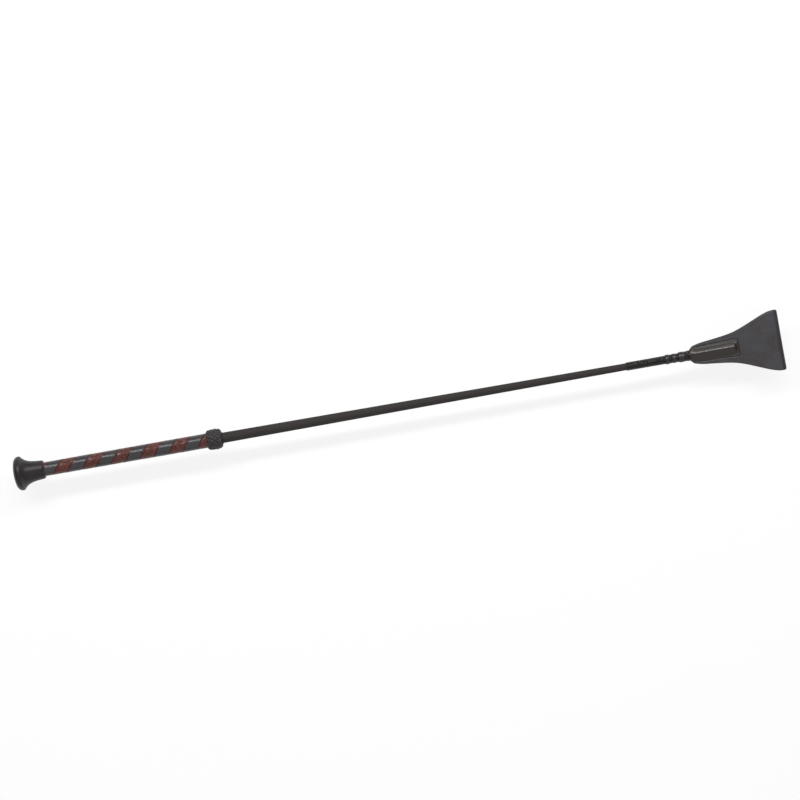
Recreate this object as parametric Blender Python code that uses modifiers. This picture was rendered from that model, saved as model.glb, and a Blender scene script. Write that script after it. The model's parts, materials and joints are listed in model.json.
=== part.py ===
"""Riding crop: flared end cap, two-colour wrapped grip, braided knot, tapered covered shaft,
thread whipping with smooth bands, and a folded leather flap stitched round the shaft's tip.

Metres, +Z up.  The crop lies along +X with the flat centre of its cap at the origin, and the
flap lies in the XY plane at the far end.
"""
import math

import bmesh
import bpy
from mathutils import Matrix, Vector

COLLECTION_NAME = "riding_crop"
CUTTER_COLLECTION_NAME = "riding_crop_cutters"

# Clearances
FIT_GAP = 0.00025  # between pieces that lie round or against one another
LAYER_GAP = 0.0003  # between the two layers of flap leather
MERGE_DISTANCE = 0.000001

# Lengths along the crop, from the cap to the flap
CAP_LENGTH = 0.0251
GRIP_LENGTH = 0.1378  # the wrapped part that shows between cap and knot
KNOT_LENGTH = 0.0127
KNOT_LIP_LENGTH = 0.0008  # of the knot's underlay that shows in front of it
SHAFT_LENGTH = 0.3419  # the covered shaft that shows between knot and whipping
WHIPPING_LENGTH = 0.0333
BAND_1_LENGTH = 0.0028
RING_1_LENGTH = 0.0029
BAND_2_LENGTH = 0.0029
RING_2_LENGTH = 0.0025
BAND_3_LENGTH = 0.0048
BINDING_LENGTH = 0.0044
FLAP_LENGTH = 0.0781  # the leather that shows in front of the neck binding

# Shaft
ROD_BUTT_RADIUS = 0.0036  # parallel under the grip and the knot
ROD_TIP_RADIUS = 0.00175
ROD_IN_POCKET = 0.0371  # length of rod in front of the neck binding
ROD_END_ROUND = 0.0006
COVER_WALL = 0.00055
COVER_PINCHED_WALL = 0.0003  # where the whipping squeezes it

# Grip
GRIP_CORE_REAR_WALL = 0.0008
GRIP_CORE_FRONT_WALL = 0.00105
WRAP_THICKNESS = 0.001
WRAP_LEAD = 0.0243  # axial travel of each strip in one turn
BROWN_STRIP_WIDTH = 0.0122  # along the crop
STRIP_SEAM = 0.0003
STRIP_EDGE_ROUND = 0.0004
BROWN_STRIP_AT_TOP = 0.0425  # a place where the brown strip's middle crosses the top
STRIP_TIP_WIDTH = 0.0006

# Cap
CAP_FLAT_RADIUS = 0.0034
CAP_DOME_RISE = 0.0004  # fall of the end between its flat and its rim
CAP_RIM_RADIUS = 0.01435
CAP_RIM_AT = 0.0054  # distance of the widest circle from the cap's end
CAP_RIM_DEPTH = 0.0044  # of the rounding between the widest circle and the domed end
CAP_RIM_HEIGHT = 0.0045
CAP_BACK_ROUND = 0.0017  # behind the widest circle
CAP_BACK_ANGLE = 40.0  # degrees above the crop's axis where that rounding meets the flare
CAP_FRONT_RADIUS = 0.0077
CAP_NECK_SLOPE = 0.045
CAP_FLARE = 0.0042  # distance in which the flare dies away to a third
CAP_FRONT_ROUND = 0.001
CAP_FLOOR = 0.0077

# Knot
KNOT_RADIUS = 0.0087
KNOT_END_RADIUS = 0.0072
KNOT_GRIP_OVERLAP = 0.0016  # of grip under the knot
KNOT_LEADS = 5
KNOT_BIGHTS = 12
KNOT_RELIEF = 0.0006  # height of a strand over the hollows beside it
KNOT_WEAVE = 0.6  # share of that height by which strands pass over and under
KNOT_LIP_RADIUS = 0.00495

# Threads, bands and neck leather
WHIPPING_THREAD = 0.00075
WHIPPING_TURNS = 24
WHIPPING_STEP_AT = 0.0245  # where it climbs on to the leather neck
RING_THREAD = 0.0005
RING_PITCH = 0.00095
RING_TURNS = 2
BINDING_TURNS = 4
BAND_1_RADIUS = 0.0041
BAND_2_RADIUS = 0.0040
BAND_3_RADIUS = 0.0044
BAND_EDGE_ROUND = 0.0005

# Flap
LEATHER_THICKNESS = 0.00135
NECK_LEATHER_THICKNESS = 0.0007  # skived thin under the bands
NECK_LEATHER_START = 0.0263  # from the start of the whipping
BINDING_FLARE = 0.00065  # growth of the neck under the neck binding
FLAP_HALF_WIDTHS = (  # share of the flap's length, half width there
    (0.00, 0.0043), (0.04, 0.0070), (0.114, 0.0088), (0.26, 0.0102), (0.406, 0.0117),
    (0.504, 0.0133), (0.602, 0.0159), (0.748, 0.0206), (0.845, 0.0236), (0.93, 0.0254),
    (1.0, 0.0255),
)
FLAP_CORNER_RADIUS = 0.0042
NECK_SPREAD_LENGTH = 0.0005  # in which the leather swells out of the neck binding
NECK_OPENING_LENGTH = 0.0062  # in which the neck opens out into the flat flap
POCKET_HALF_WIDTH = 0.0056
POCKET_END_LENGTH = 0.0045
POCKET_FULLNESS = 0.85  # under 1 makes the leather over the rod fuller at its sides
SEAM_START = 0.0068  # from the neck binding
SEAM_PAST_ROD = 0.0048
SEAM_HALF_WIDTH_REAR = 0.0066
SEAM_HALF_WIDTH_FRONT = 0.0073
SEAM_TO_BEND = 0.0017
STITCH_PITCH = 0.0020
STITCH_DIP = 0.5  # share of the thread that shows where a stitch goes in
STITCH_WIDTH = 0.0005
FOLD_HALF_HEIGHT = 0.0027
FOLD_LENGTH = 0.0042
FOLD_OPENS_AT = 0.010  # from the bend line, where the two layers start to part

# Fineness of the round shapes
ROUND_STEPS = 28
ROD_STEPS = 20
CAP_STEPS = 32
BAND_STEPS = 24
THREAD_POINTS_PER_TURN = 12
STRIP_POINTS_PER_TURN = 16
KNOT_STEPS_ROUND = 72
KNOT_STEPS_ALONG = 14
LEATHER_STEPS_ACROSS = 12
OUTLINE_STEPS = 14
ARC_STEPS = 6

# Places along the crop
GRIP_START = CAP_LENGTH
KNOT_START = GRIP_START + GRIP_LENGTH
KNOT_END = KNOT_START + KNOT_LENGTH
SHAFT_START = KNOT_END + KNOT_LIP_LENGTH
WHIPPING_START = SHAFT_START + SHAFT_LENGTH
BAND_1_START = WHIPPING_START + WHIPPING_LENGTH
RING_1_START = BAND_1_START + BAND_1_LENGTH
BAND_2_START = RING_1_START + RING_1_LENGTH
RING_2_START = BAND_2_START + BAND_2_LENGTH
BAND_3_START = RING_2_START + RING_2_LENGTH
BINDING_START = BAND_3_START + BAND_3_LENGTH
FLAP_START = BINDING_START + BINDING_LENGTH
FLAP_END = FLAP_START + FLAP_LENGTH
GRIP_INSIDE_START = CAP_FLOOR + FIT_GAP
GRIP_INSIDE_END = KNOT_START + KNOT_GRIP_OVERLAP
UNDERLAY_START = GRIP_INSIDE_END + FIT_GAP
NECK_START = WHIPPING_START + NECK_LEATHER_START
ROD_END = FLAP_START + ROD_IN_POCKET
SEAM_END = ROD_END + SEAM_PAST_ROD
FLAP_ROOT_END = SEAM_END + SEAM_TO_BEND
LAYERS_HALF_HEIGHT = LAYER_GAP / 2 + LEATHER_THICKNESS
BEND_LINE = FLAP_ROOT_END + FIT_GAP + LAYERS_HALF_HEIGHT


def ease(share):
    """Smooth step from 0 to 1."""
    share = min(max(share, 0.0), 1.0)
    return share * share * (3 - 2 * share)


def mix(first, second, share):
    """Value at a share of the way from the first to the second."""
    return first + (second - first) * share


# Radii of the stacked layers


def rod_radius(x):
    share = (x - SHAFT_START) / (ROD_END - SHAFT_START)
    return mix(ROD_BUTT_RADIUS, ROD_TIP_RADIUS, min(max(share, 0.0), 1.0))


def cover_bore(x):
    return rod_radius(x) + FIT_GAP


def grip_core_radius(x):
    share = (x - GRIP_START) / GRIP_LENGTH
    wall = mix(GRIP_CORE_REAR_WALL, GRIP_CORE_FRONT_WALL, min(max(share, 0.0), 1.0))
    return rod_radius(x) + FIT_GAP + wall


def wrap_bore(x):
    return grip_core_radius(x) + FIT_GAP


def wrap_radius(x):
    return wrap_bore(x) + WRAP_THICKNESS


def neck_radius(x):
    """Outside of the leather neck under the whipping, the bands and the neck binding."""
    base = cover_bore(NECK_START) + NECK_LEATHER_THICKNESS
    return base + BINDING_FLARE * ease((x - BINDING_START) / BINDING_LENGTH)


def whipping_bore(x):
    """Inside of the whipping: it lies on the cover and climbs on to the leather neck."""
    on_cover = cover_bore(WHIPPING_START) + COVER_PINCHED_WALL + FIT_GAP
    on_leather = neck_radius(NECK_START) + FIT_GAP
    climb_start = WHIPPING_START + WHIPPING_STEP_AT - WHIPPING_THREAD * 2
    return mix(on_cover, on_leather, ease((x - climb_start) / (WHIPPING_THREAD * 2)))


def binding_bore(x):
    return neck_radius(x) + FIT_GAP


def flap_half_width(x):
    """Half width of the flap's outline, a smooth curve through its points."""
    share = min(max((x - FLAP_START) / FLAP_LENGTH, 0.0), 1.0)
    places = FLAP_HALF_WIDTHS
    index = 0
    while index < len(places) - 2 and share > places[index + 1][0]:
        index += 1
    (start, low), (end, high) = places[index], places[index + 1]
    before = places[max(index - 1, 0)]
    after = places[min(index + 2, len(places) - 1)]
    slope_in = (high - before[1]) / (end - before[0]) * (end - start)
    slope_out = (after[1] - low) / (after[0] - start) * (end - start)
    t = (share - start) / (end - start)
    return (
        low * (2 * t ** 3 - 3 * t ** 2 + 1) + slope_in * (t ** 3 - 2 * t ** 2 + t)
        + high * (3 * t ** 2 - 2 * t ** 3) + slope_out * (t ** 3 - t ** 2)
    )


# Scene, materials and objects


def clear_scene():
    for scene_object in list(bpy.data.objects):
        bpy.data.objects.remove(scene_object, do_unlink=True)
    for collection in list(bpy.data.collections):
        bpy.data.collections.remove(collection)


def make_collection(name):
    collection = bpy.data.collections.new(name)
    bpy.context.scene.collection.children.link(collection)
    return collection


def make_material(name, colour, roughness, metallic=0.0):
    material = bpy.data.materials.new(name)
    material.use_nodes = True
    shader = material.node_tree.nodes["Principled BSDF"]
    shader.inputs["Base Color"].default_value = (*colour, 1.0)
    shader.inputs["Roughness"].default_value = roughness
    shader.inputs["Metallic"].default_value = metallic
    material.diffuse_color = (*colour, 1.0)
    return material


def add_object(name, data, material, collection, parent=None):
    data.materials.append(material)
    new_object = bpy.data.objects.new(name, data)
    collection.objects.link(new_object)
    if parent is not None:
        new_object.parent = parent
    return new_object


def mesh_from_bmesh(name, working, sharp_angle=math.radians(40)):
    bmesh.ops.recalc_face_normals(working, faces=working.faces)
    mesh = bpy.data.meshes.new(name)
    working.to_mesh(mesh)
    working.free()
    mesh.shade_smooth()
    mesh.set_sharp_from_angle(angle=sharp_angle)
    return mesh


def add_loft(name, rings, material, collection, closed_along=False):
    """A closed body through rings of equally many points, with its end rings filled."""
    working = bmesh.new()
    rows = [[working.verts.new(point) for point in ring] for ring in rings]
    following = rows[1:] + rows[:1] if closed_along else rows[1:]
    for row, next_row in zip(rows, following):
        for index, corner in enumerate(row):
            after = (index + 1) % len(row)
            working.faces.new((corner, row[after], next_row[after], next_row[index]))
    if not closed_along:
        working.faces.new(list(reversed(rows[0])))
        working.faces.new(rows[-1])
    return add_object(name, mesh_from_bmesh(name, working), material, collection)


def add_turned(name, profile, material, collection, axis, closed=False, steps=ROUND_STEPS):
    """A turned piece: a profile of (distance along the crop, radius) round the crop's axis.

    The profile starts at the flap's end of the outer side and runs back towards the cap.
    """
    mesh = bpy.data.meshes.new(name)
    points = [(radius, 0.0, along) for along, radius in profile]
    edges = [(index, index + 1) for index in range(len(points) - 1)]
    if closed:
        edges.append((len(points) - 1, 0))
    mesh.from_pydata(points, edges, [])
    turned = add_object(name, mesh, material, collection, axis)
    screw = turned.modifiers.new("Turn", "SCREW")
    screw.axis = "Z"
    screw.steps = steps
    screw.render_steps = steps
    screw.use_merge_vertices = True
    screw.merge_threshold = MERGE_DISTANCE
    screw.use_smooth_shade = True
    return turned


def arc(centre, radii, start_degrees, end_degrees, steps=ARC_STEPS):
    """Points on an ellipse's arc: (along, radius) pairs about a centre."""
    points = []
    for step in range(steps + 1):
        angle = math.radians(mix(start_degrees, end_degrees, step / steps))
        points.append((centre[0] + radii[0] * math.cos(angle), centre[1] + radii[1] * math.sin(angle)))
    return points


# Shaft


def add_core_rod(collection, axis):
    material = make_material("rod_fibreglass", (0.55, 0.53, 0.44), 0.35)
    profile = [(ROD_END, 0.0)]
    profile += arc(
        (ROD_END - ROD_END_ROUND, rod_radius(ROD_END) - ROD_END_ROUND),
        (ROD_END_ROUND, ROD_END_ROUND), 0, 90, 3,
    )
    profile += [(SHAFT_START, ROD_BUTT_RADIUS), (GRIP_INSIDE_START, ROD_BUTT_RADIUS)]
    profile += [(GRIP_INSIDE_START, 0.0)]
    add_turned("core_rod", profile, material, collection, axis, steps=ROD_STEPS)


def add_shaft_cover(collection, axis):
    material = make_material("shaft_cover_braid", (0.041, 0.036, 0.034), 0.62)
    front = NECK_START - FIT_GAP
    pinch = WHIPPING_START + WHIPPING_THREAD / 2
    outer = [
        (front, cover_bore(front) + COVER_PINCHED_WALL),
        (pinch, cover_bore(pinch) + COVER_PINCHED_WALL),
        (WHIPPING_START - FIT_GAP, cover_bore(WHIPPING_START) + COVER_WALL),
        (SHAFT_START, cover_bore(SHAFT_START) + COVER_WALL),
        (UNDERLAY_START, cover_bore(UNDERLAY_START) + COVER_WALL),
    ]
    inner = [(UNDERLAY_START, cover_bore(UNDERLAY_START)), (SHAFT_START, cover_bore(SHAFT_START))]
    inner += [(front, cover_bore(front))]
    add_turned("shaft_cover", outer + inner, material, collection, axis, closed=True)


# Grip


def add_grip_core(collection, axis):
    material = make_material("grip_core_rubber", (0.03, 0.03, 0.03), 0.8)
    places = (GRIP_INSIDE_END, KNOT_START, GRIP_START, GRIP_INSIDE_START)
    outer = [(x, grip_core_radius(x)) for x in places]
    bore = ROD_BUTT_RADIUS + FIT_GAP
    inner = [(GRIP_INSIDE_START, bore), (GRIP_INSIDE_END, bore)]
    add_turned("grip_core", outer + inner, material, collection, axis, closed=True)


def strip_section(middle, width, angle):
    """Section of a wound strip: its corners in order, cut square at both ends of the grip."""
    left = max(middle - width / 2, GRIP_INSIDE_START)
    right = min(middle + width / 2, GRIP_INSIDE_END)
    edge = min(STRIP_EDGE_ROUND, (right - left) / 4)
    corners = (
        (left, wrap_bore(left)),
        (left, wrap_radius(left) - edge),
        (left + edge, wrap_radius(left)),
        (right - edge, wrap_radius(right)),
        (right, wrap_radius(right) - edge),
        (right, wrap_bore(right)),
    )
    return [(x, radius * math.sin(angle), radius * math.cos(angle)) for x, radius in corners]


def add_grip_strip(name, middle_at_top, width, material, collection):
    """One leather strip wound from the cap to the knot, rising towards +Y over the top."""
    first_middle = GRIP_INSIDE_START + STRIP_TIP_WIDTH - width / 2
    last_middle = GRIP_INSIDE_END - STRIP_TIP_WIDTH + width / 2
    first_turn = (first_middle - middle_at_top) / WRAP_LEAD
    last_turn = (last_middle - middle_at_top) / WRAP_LEAD
    steps = round((last_turn - first_turn) * STRIP_POINTS_PER_TURN)
    rings = []
    for step in range(steps + 1):
        turn = mix(first_turn, last_turn, step / steps)
        rings.append(strip_section(middle_at_top + turn * WRAP_LEAD, width, turn * math.tau))
    add_loft(name, rings, material, collection)
    gap = WRAP_LEAD - width
    print(f"{name}: {last_turn - first_turn:.2f} turns, least gap to itself {gap * 1000:.2f} mm")


def add_grip_strips(collection):
    brown = make_material("grip_leather_brown", (0.162, 0.045, 0.032), 0.42)
    black = make_material("grip_leather_black", (0.071, 0.065, 0.069), 0.4)
    black_width = WRAP_LEAD - BROWN_STRIP_WIDTH - 2 * STRIP_SEAM
    add_grip_strip("brown_grip_strip", BROWN_STRIP_AT_TOP, BROWN_STRIP_WIDTH, brown, collection)
    black_at_top = BROWN_STRIP_AT_TOP + WRAP_LEAD / 2
    add_grip_strip("black_grip_strip", black_at_top, black_width, black, collection)


# Cap


def cap_flare_start():
    """Where the rounding behind the cap's rim passes into its flare: (distance, radius)."""
    angle = math.radians(CAP_BACK_ANGLE)
    centre = CAP_RIM_RADIUS - CAP_BACK_ROUND
    return (CAP_RIM_AT + CAP_BACK_ROUND * math.cos(angle), centre + CAP_BACK_ROUND * math.sin(angle))


def cap_taper(x):
    return CAP_FRONT_RADIUS + CAP_NECK_SLOPE * (CAP_LENGTH - CAP_FRONT_ROUND - x)


def cap_neck_radius(x):
    """Outside of the cap's neck: a slight taper plus a flare that dies away from the rim."""
    start, radius = cap_flare_start()
    return cap_taper(x) + (radius - cap_taper(start)) * math.exp(-(x - start) / CAP_FLARE)


def add_end_cap(collection, axis):
    material = make_material("cap_rubber", (0.032, 0.026, 0.031), 0.5)
    bore = wrap_radius(GRIP_START) + FIT_GAP
    front = CAP_LENGTH - CAP_FRONT_ROUND
    rounding = (CAP_FRONT_ROUND, CAP_FRONT_ROUND)
    profile = [(CAP_FLOOR, 0.0), (CAP_FLOOR, bore), (CAP_LENGTH, bore)]
    profile += arc((front, CAP_FRONT_RADIUS - CAP_FRONT_ROUND), rounding, 0, 90, 3)
    for share in (0.75, 0.5, 0.32, 0.2, 0.1, 0.04):
        x = mix(cap_flare_start()[0], front, share)
        profile.append((x, cap_neck_radius(x)))
    back_centre = (CAP_RIM_AT, CAP_RIM_RADIUS - CAP_BACK_ROUND)
    profile += arc(back_centre, (CAP_BACK_ROUND, CAP_BACK_ROUND), CAP_BACK_ANGLE, 90, 3)
    rim_centre = (CAP_RIM_AT, CAP_RIM_RADIUS - CAP_RIM_HEIGHT)
    profile += arc(rim_centre, (CAP_RIM_DEPTH, CAP_RIM_HEIGHT), 108, 164, 4)
    dome_radius = (CAP_FLAT_RADIUS + rim_centre[1]) / 2
    profile += [(CAP_DOME_RISE, dome_radius), (0.0, CAP_FLAT_RADIUS), (0.0, 0.0)]
    add_turned("end_cap", profile, material, collection, axis, steps=CAP_STEPS)


# Knot


def knot_radius(share, angle):
    """Outside of the knot: a barrel with the relief of strands that pass over and under."""
    across = 2 * share - 1
    barrel = mix(KNOT_END_RADIUS, KNOT_RADIUS, math.sqrt(1 - abs(across) ** 3))
    round_count = KNOT_BIGHTS * angle / math.tau
    slant = KNOT_LEADS / 4 * across
    rising = abs((round_count + slant) % 1 - 0.5) * 2  # 1 on a strand's middle line
    falling = abs((round_count - slant + 0.5) % 1 - 0.5) * 2
    weave = math.sin(math.pi * KNOT_LEADS * across / 2)
    rising_height = 1 - (1 - rising) ** 2 + KNOT_WEAVE * weave
    falling_height = 1 - (1 - falling) ** 2 - KNOT_WEAVE * weave
    return barrel + KNOT_RELIEF * (max(rising_height, falling_height) - 1)


def ring_at(x, radius_at, steps):
    ring = []
    for step in range(steps):
        angle = math.tau * step / steps
        radius = radius_at(angle)
        ring.append((x, radius * math.sin(angle), radius * math.cos(angle)))
    return ring


def add_braided_knot(collection):
    material = make_material("knot_strands", (0.052, 0.046, 0.051), 0.55)
    bore = wrap_radius(GRIP_INSIDE_END) + FIT_GAP
    rings = [ring_at(KNOT_START, lambda angle: bore, KNOT_STEPS_ROUND)]
    for step in range(KNOT_STEPS_ALONG + 1):
        share = 0.5 - 0.5 * math.cos(math.pi * step / KNOT_STEPS_ALONG)
        x = KNOT_START + share * KNOT_LENGTH
        rings.append(ring_at(x, lambda angle: knot_radius(share, angle), KNOT_STEPS_ROUND))
    rings.append(ring_at(KNOT_END, lambda angle: bore, KNOT_STEPS_ROUND))
    add_loft("braided_knot", rings, material, collection, closed_along=True)


def add_knot_underlay(collection, axis):
    material = make_material("knot_underlay_cord", (0.02, 0.018, 0.02), 0.7)
    outer_radius = wrap_radius(GRIP_INSIDE_END)
    bore = cover_bore(UNDERLAY_START) + COVER_WALL + FIT_GAP
    profile = [
        (SHAFT_START, bore), (SHAFT_START, KNOT_LIP_RADIUS), (KNOT_END, KNOT_LIP_RADIUS),
        (KNOT_END, outer_radius), (UNDERLAY_START, outer_radius), (UNDERLAY_START, bore),
    ]
    add_turned("knot_underlay", profile, material, collection, axis, closed=True)


# Threads and bands


def least_gap(points, thread, points_per_turn):
    """Least clear distance between neighbouring turns, measured between the points."""
    least = math.inf
    for index, point in enumerate(points):
        for other in points[index + points_per_turn // 2:index + points_per_turn * 2]:
            least = min(least, (point - other).length)
    return least - thread


def add_thread(name, route, thread, fineness, material, collection):
    """A thread through (point, fullness) pairs."""
    curve = bpy.data.curves.new(name, "CURVE")
    curve.dimensions = "3D"
    curve.bevel_depth = thread / 2
    curve.bevel_resolution = fineness
    curve.use_fill_caps = True
    spline = curve.splines.new("POLY")
    spline.points.add(len(route) - 1)
    for spline_point, (point, fullness) in zip(spline.points, route):
        spline_point.co = (*point, 1.0)
        spline_point.radius = fullness
    add_object(name, curve, material, collection)


def add_winding(name, start, pitch, turns, thread, bore_at, material, collection):
    """An unbroken thread wound round the crop, with straight ends one thread long."""
    steps = turns * THREAD_POINTS_PER_TURN
    points = []
    for step in range(steps + 1):
        turn = step / THREAD_POINTS_PER_TURN
        x = start + thread / 2 + turn * pitch
        radius = bore_at(x) + thread / 2
        angle = turn * math.tau
        points.append(Vector((x, radius * math.sin(angle), radius * math.cos(angle))))
    lead_in = points[0] - (points[1] - points[0]).normalized() * thread
    lead_out = points[-1] + (points[-1] - points[-2]).normalized() * thread
    gap = least_gap(points, thread, THREAD_POINTS_PER_TURN)
    print(f"{name}: {turns} turns, least gap to itself {gap * 1000:.2f} mm")
    route = [(point, 1.0) for point in [lead_in] + points + [lead_out]]
    add_thread(name, route, thread, 1, material, collection)


def add_windings(collection):
    material = make_material("whipping_thread", (0.045, 0.042, 0.045), 0.3)
    whipping_pitch = (WHIPPING_LENGTH - WHIPPING_THREAD - FIT_GAP) / WHIPPING_TURNS
    add_winding(
        "shaft_whipping", WHIPPING_START, whipping_pitch, WHIPPING_TURNS, WHIPPING_THREAD,
        whipping_bore, material, collection,
    )
    rings = (
        ("thread_ring_1", RING_1_START, RING_1_LENGTH, RING_TURNS),
        ("thread_ring_2", RING_2_START, RING_2_LENGTH, RING_TURNS),
        ("neck_binding", BINDING_START, BINDING_LENGTH, BINDING_TURNS),
    )
    for name, start, length, turns in rings:
        margin = (length - turns * RING_PITCH - RING_THREAD) / 2
        add_winding(
            name, start + margin, RING_PITCH, turns, RING_THREAD, binding_bore, material, collection,
        )


def add_bands(collection, axis):
    material = make_material("smooth_leather_band", (0.06, 0.052, 0.05), 0.33)
    bands = (
        ("smooth_band_1", BAND_1_START, BAND_1_LENGTH, BAND_1_RADIUS),
        ("smooth_band_2", BAND_2_START, BAND_2_LENGTH, BAND_2_RADIUS),
        ("smooth_band_3", BAND_3_START, BAND_3_LENGTH, BAND_3_RADIUS),
    )
    for name, start, length, radius in bands:
        bore = neck_radius(start) + FIT_GAP
        front = start + length - FIT_GAP / 2
        back = start + FIT_GAP / 2
        edge = min(BAND_EDGE_ROUND, radius - bore - MERGE_DISTANCE)
        profile = [(front, bore)]
        profile += arc((front - edge, radius - edge), (edge, edge), 0, 90, 2)
        profile += arc((back + edge, radius - edge), (edge, edge), 90, 180, 2)
        profile += [(back, bore)]
        add_turned(name, profile, material, collection, axis, closed=True, steps=BAND_STEPS)


# Flap


def leather_thickness(x):
    return mix(NECK_LEATHER_THICKNESS, LEATHER_THICKNESS, ease((x - FLAP_START) / NECK_OPENING_LENGTH))


def pocket_height(x, y):
    """Height of the leather over the rod, above the flat leather beside it."""
    end_share = (ROD_END + SEAM_PAST_ROD - x) / POCKET_END_LENGTH
    top = rod_radius(x) + FIT_GAP + leather_thickness(x)
    rise = (top - LAYERS_HALF_HEIGHT) * ease(end_share)
    across = min(abs(y) / POCKET_HALF_WIDTH, 1.0)
    return rise * (0.5 + 0.5 * math.cos(math.pi * across)) ** POCKET_FULLNESS


def leather_outer(x, side):
    """Outer side of the upper leather at side -1..1: round the neck, then flat with a bulge."""
    opened = ease((x - FLAP_START) / NECK_OPENING_LENGTH)
    radius = neck_radius(x)
    spread = min(max((x - FLAP_START) / NECK_SPREAD_LENGTH, 0.0), 1.0)
    half_width = mix(radius, flap_half_width(x), spread)
    y = half_width * mix(math.sin(side * math.pi / 2), side, opened)
    round_z = LAYER_GAP / 2 + (radius - LAYER_GAP / 2) * math.cos(side * math.pi / 2)
    flat_z = LAYERS_HALF_HEIGHT + pocket_height(x, y)
    return Vector((x, y, mix(round_z, flat_z, opened)))


def leather_ring(x, direction):
    """One closed section of the upper (direction 1) or lower (-1) leather."""
    sides = [2 * step / LEATHER_STEPS_ACROSS - 1 for step in range(LEATHER_STEPS_ACROSS + 1)]
    outer = [leather_outer(x, side) for side in sides]
    inner = []
    for index, point in enumerate(outer):
        before = outer[max(index - 1, 0)]
        after = outer[min(index + 1, len(outer) - 1)]
        inward = Vector((0.0, after.z - before.z, before.y - after.y)).normalized()
        if index in (0, len(outer) - 1):
            at_edge = ease((x - FLAP_START) / NECK_OPENING_LENGTH)
            flat = Vector((0.0, 0.0, -1.0))
            inward = Vector((0.0, -math.copysign(1, point.y), 0.0)).lerp(flat, at_edge).normalized()
        offset = point + inward * leather_thickness(x)
        inner.append(Vector((x, offset.y, max(offset.z, LAYER_GAP / 2))))
    ring = outer + list(reversed(inner))
    return [(point.x, point.y, point.z * direction) for point in ring]


def leather_places():
    """Where the leather's sections lie: closer together where its shape changes."""
    places = [NECK_START, BAND_1_START, BAND_3_START, BINDING_START]
    places += [mix(BINDING_START, FLAP_START, share) for share in (0.35, 0.65, 1.0)]
    places.append(FLAP_START + NECK_SPREAD_LENGTH)
    places += [FLAP_START + NECK_OPENING_LENGTH * share for share in (0.2, 0.35, 0.5, 0.65, 0.8, 1.0)]
    pocket_end = SEAM_END - POCKET_END_LENGTH
    straight_start = FLAP_START + NECK_OPENING_LENGTH
    places += [mix(straight_start, pocket_end, share) for share in (0.15, 0.35, 0.55, 0.75, 1.0)]
    places += [mix(pocket_end, SEAM_END, share) for share in (0.25, 0.5, 0.75, 1.0)]
    places.append(FLAP_ROOT_END)
    return places


def add_flap_root(collection):
    """The two leathers round the neck and the rod's tip, sewn together beside the rod."""
    material = make_material("flap_leather", (0.061, 0.054, 0.054), 0.45)
    for name, direction in (("flap_upper_leather", 1), ("flap_lower_leather", -1)):
        rings = [leather_ring(x, direction) for x in leather_places()]
        add_loft(name, rings, material, collection)
    return material


def fold_half_height(x):
    """Outer half height of the folded flap in front of the bend line."""
    opens = BEND_LINE + FOLD_OPENS_AT
    fold_start = FLAP_END - FOLD_LENGTH
    share = (x - opens) / (fold_start - opens)
    return mix(LAYERS_HALF_HEIGHT, FOLD_HALF_HEIGHT, ease(share))


def fan_side_profile():
    """Side view of the folded flap: out along the top, round the fold and back inside it."""
    fold_start = FLAP_END - FOLD_LENGTH
    slot_angle = math.degrees(math.asin(LAYER_GAP / 2 / LAYERS_HALF_HEIGHT))
    root = arc((BEND_LINE, 0.0), (LAYERS_HALF_HEIGHT, LAYERS_HALF_HEIGHT), 180 - slot_angle, 90)
    lengthwise = [
        mix(BEND_LINE + FOLD_OPENS_AT, fold_start, step / ARC_STEPS) for step in range(ARC_STEPS)
    ]
    top = [(x, fold_half_height(x)) for x in lengthwise]
    fold = arc((fold_start, 0.0), (FOLD_LENGTH, FOLD_HALF_HEIGHT), 90, 0)
    outer_half = root + top + fold
    inner_fold = arc(
        (fold_start, 0.0), (FOLD_LENGTH - LEATHER_THICKNESS, FOLD_HALF_HEIGHT - LEATHER_THICKNESS),
        0, 90,
    )
    inner_top = [(x, fold_half_height(x) - LEATHER_THICKNESS) for x in reversed(lengthwise)]
    inner_half = inner_fold + inner_top
    outer = outer_half + [(x, -z) for x, z in reversed(outer_half[:-1])]
    inner = [(x, -z) for x, z in reversed(inner_half[1:])] + inner_half
    return outer + inner


def fan_outline():
    """Plan view of the folded flap: its half widths and the two rounded far corners."""
    start = FLAP_ROOT_END + FIT_GAP / 2
    corner_x = FLAP_END - FLAP_CORNER_RADIUS
    places = [mix(start, corner_x, step / OUTLINE_STEPS) for step in range(OUTLINE_STEPS + 1)]
    side = [(x, flap_half_width(x)) for x in places]
    side += arc(
        (corner_x, flap_half_width(corner_x) - FLAP_CORNER_RADIUS),
        (FLAP_CORNER_RADIUS + FIT_GAP, FLAP_CORNER_RADIUS), 75, 0,
    )
    return side + [(x, -y) for x, y in reversed(side)]


def prism(name, points, depth, upright):
    """A flat outline pushed out both ways: upright along Z, otherwise along Y."""
    working = bmesh.new()
    if upright:
        corners = [working.verts.new((x, y, -depth)) for x, y in points]
        push = Vector((0.0, 0.0, depth * 2))
    else:
        corners = [working.verts.new((x, -depth, z)) for x, z in points]
        push = Vector((0.0, depth * 2, 0.0))
    face = working.faces.new(corners)
    pushed = bmesh.ops.extrude_face_region(working, geom=[face])
    moved = [item for item in pushed["geom"] if isinstance(item, bmesh.types.BMVert)]
    bmesh.ops.translate(working, verts=moved, vec=push)
    return mesh_from_bmesh(name, working)


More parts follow.
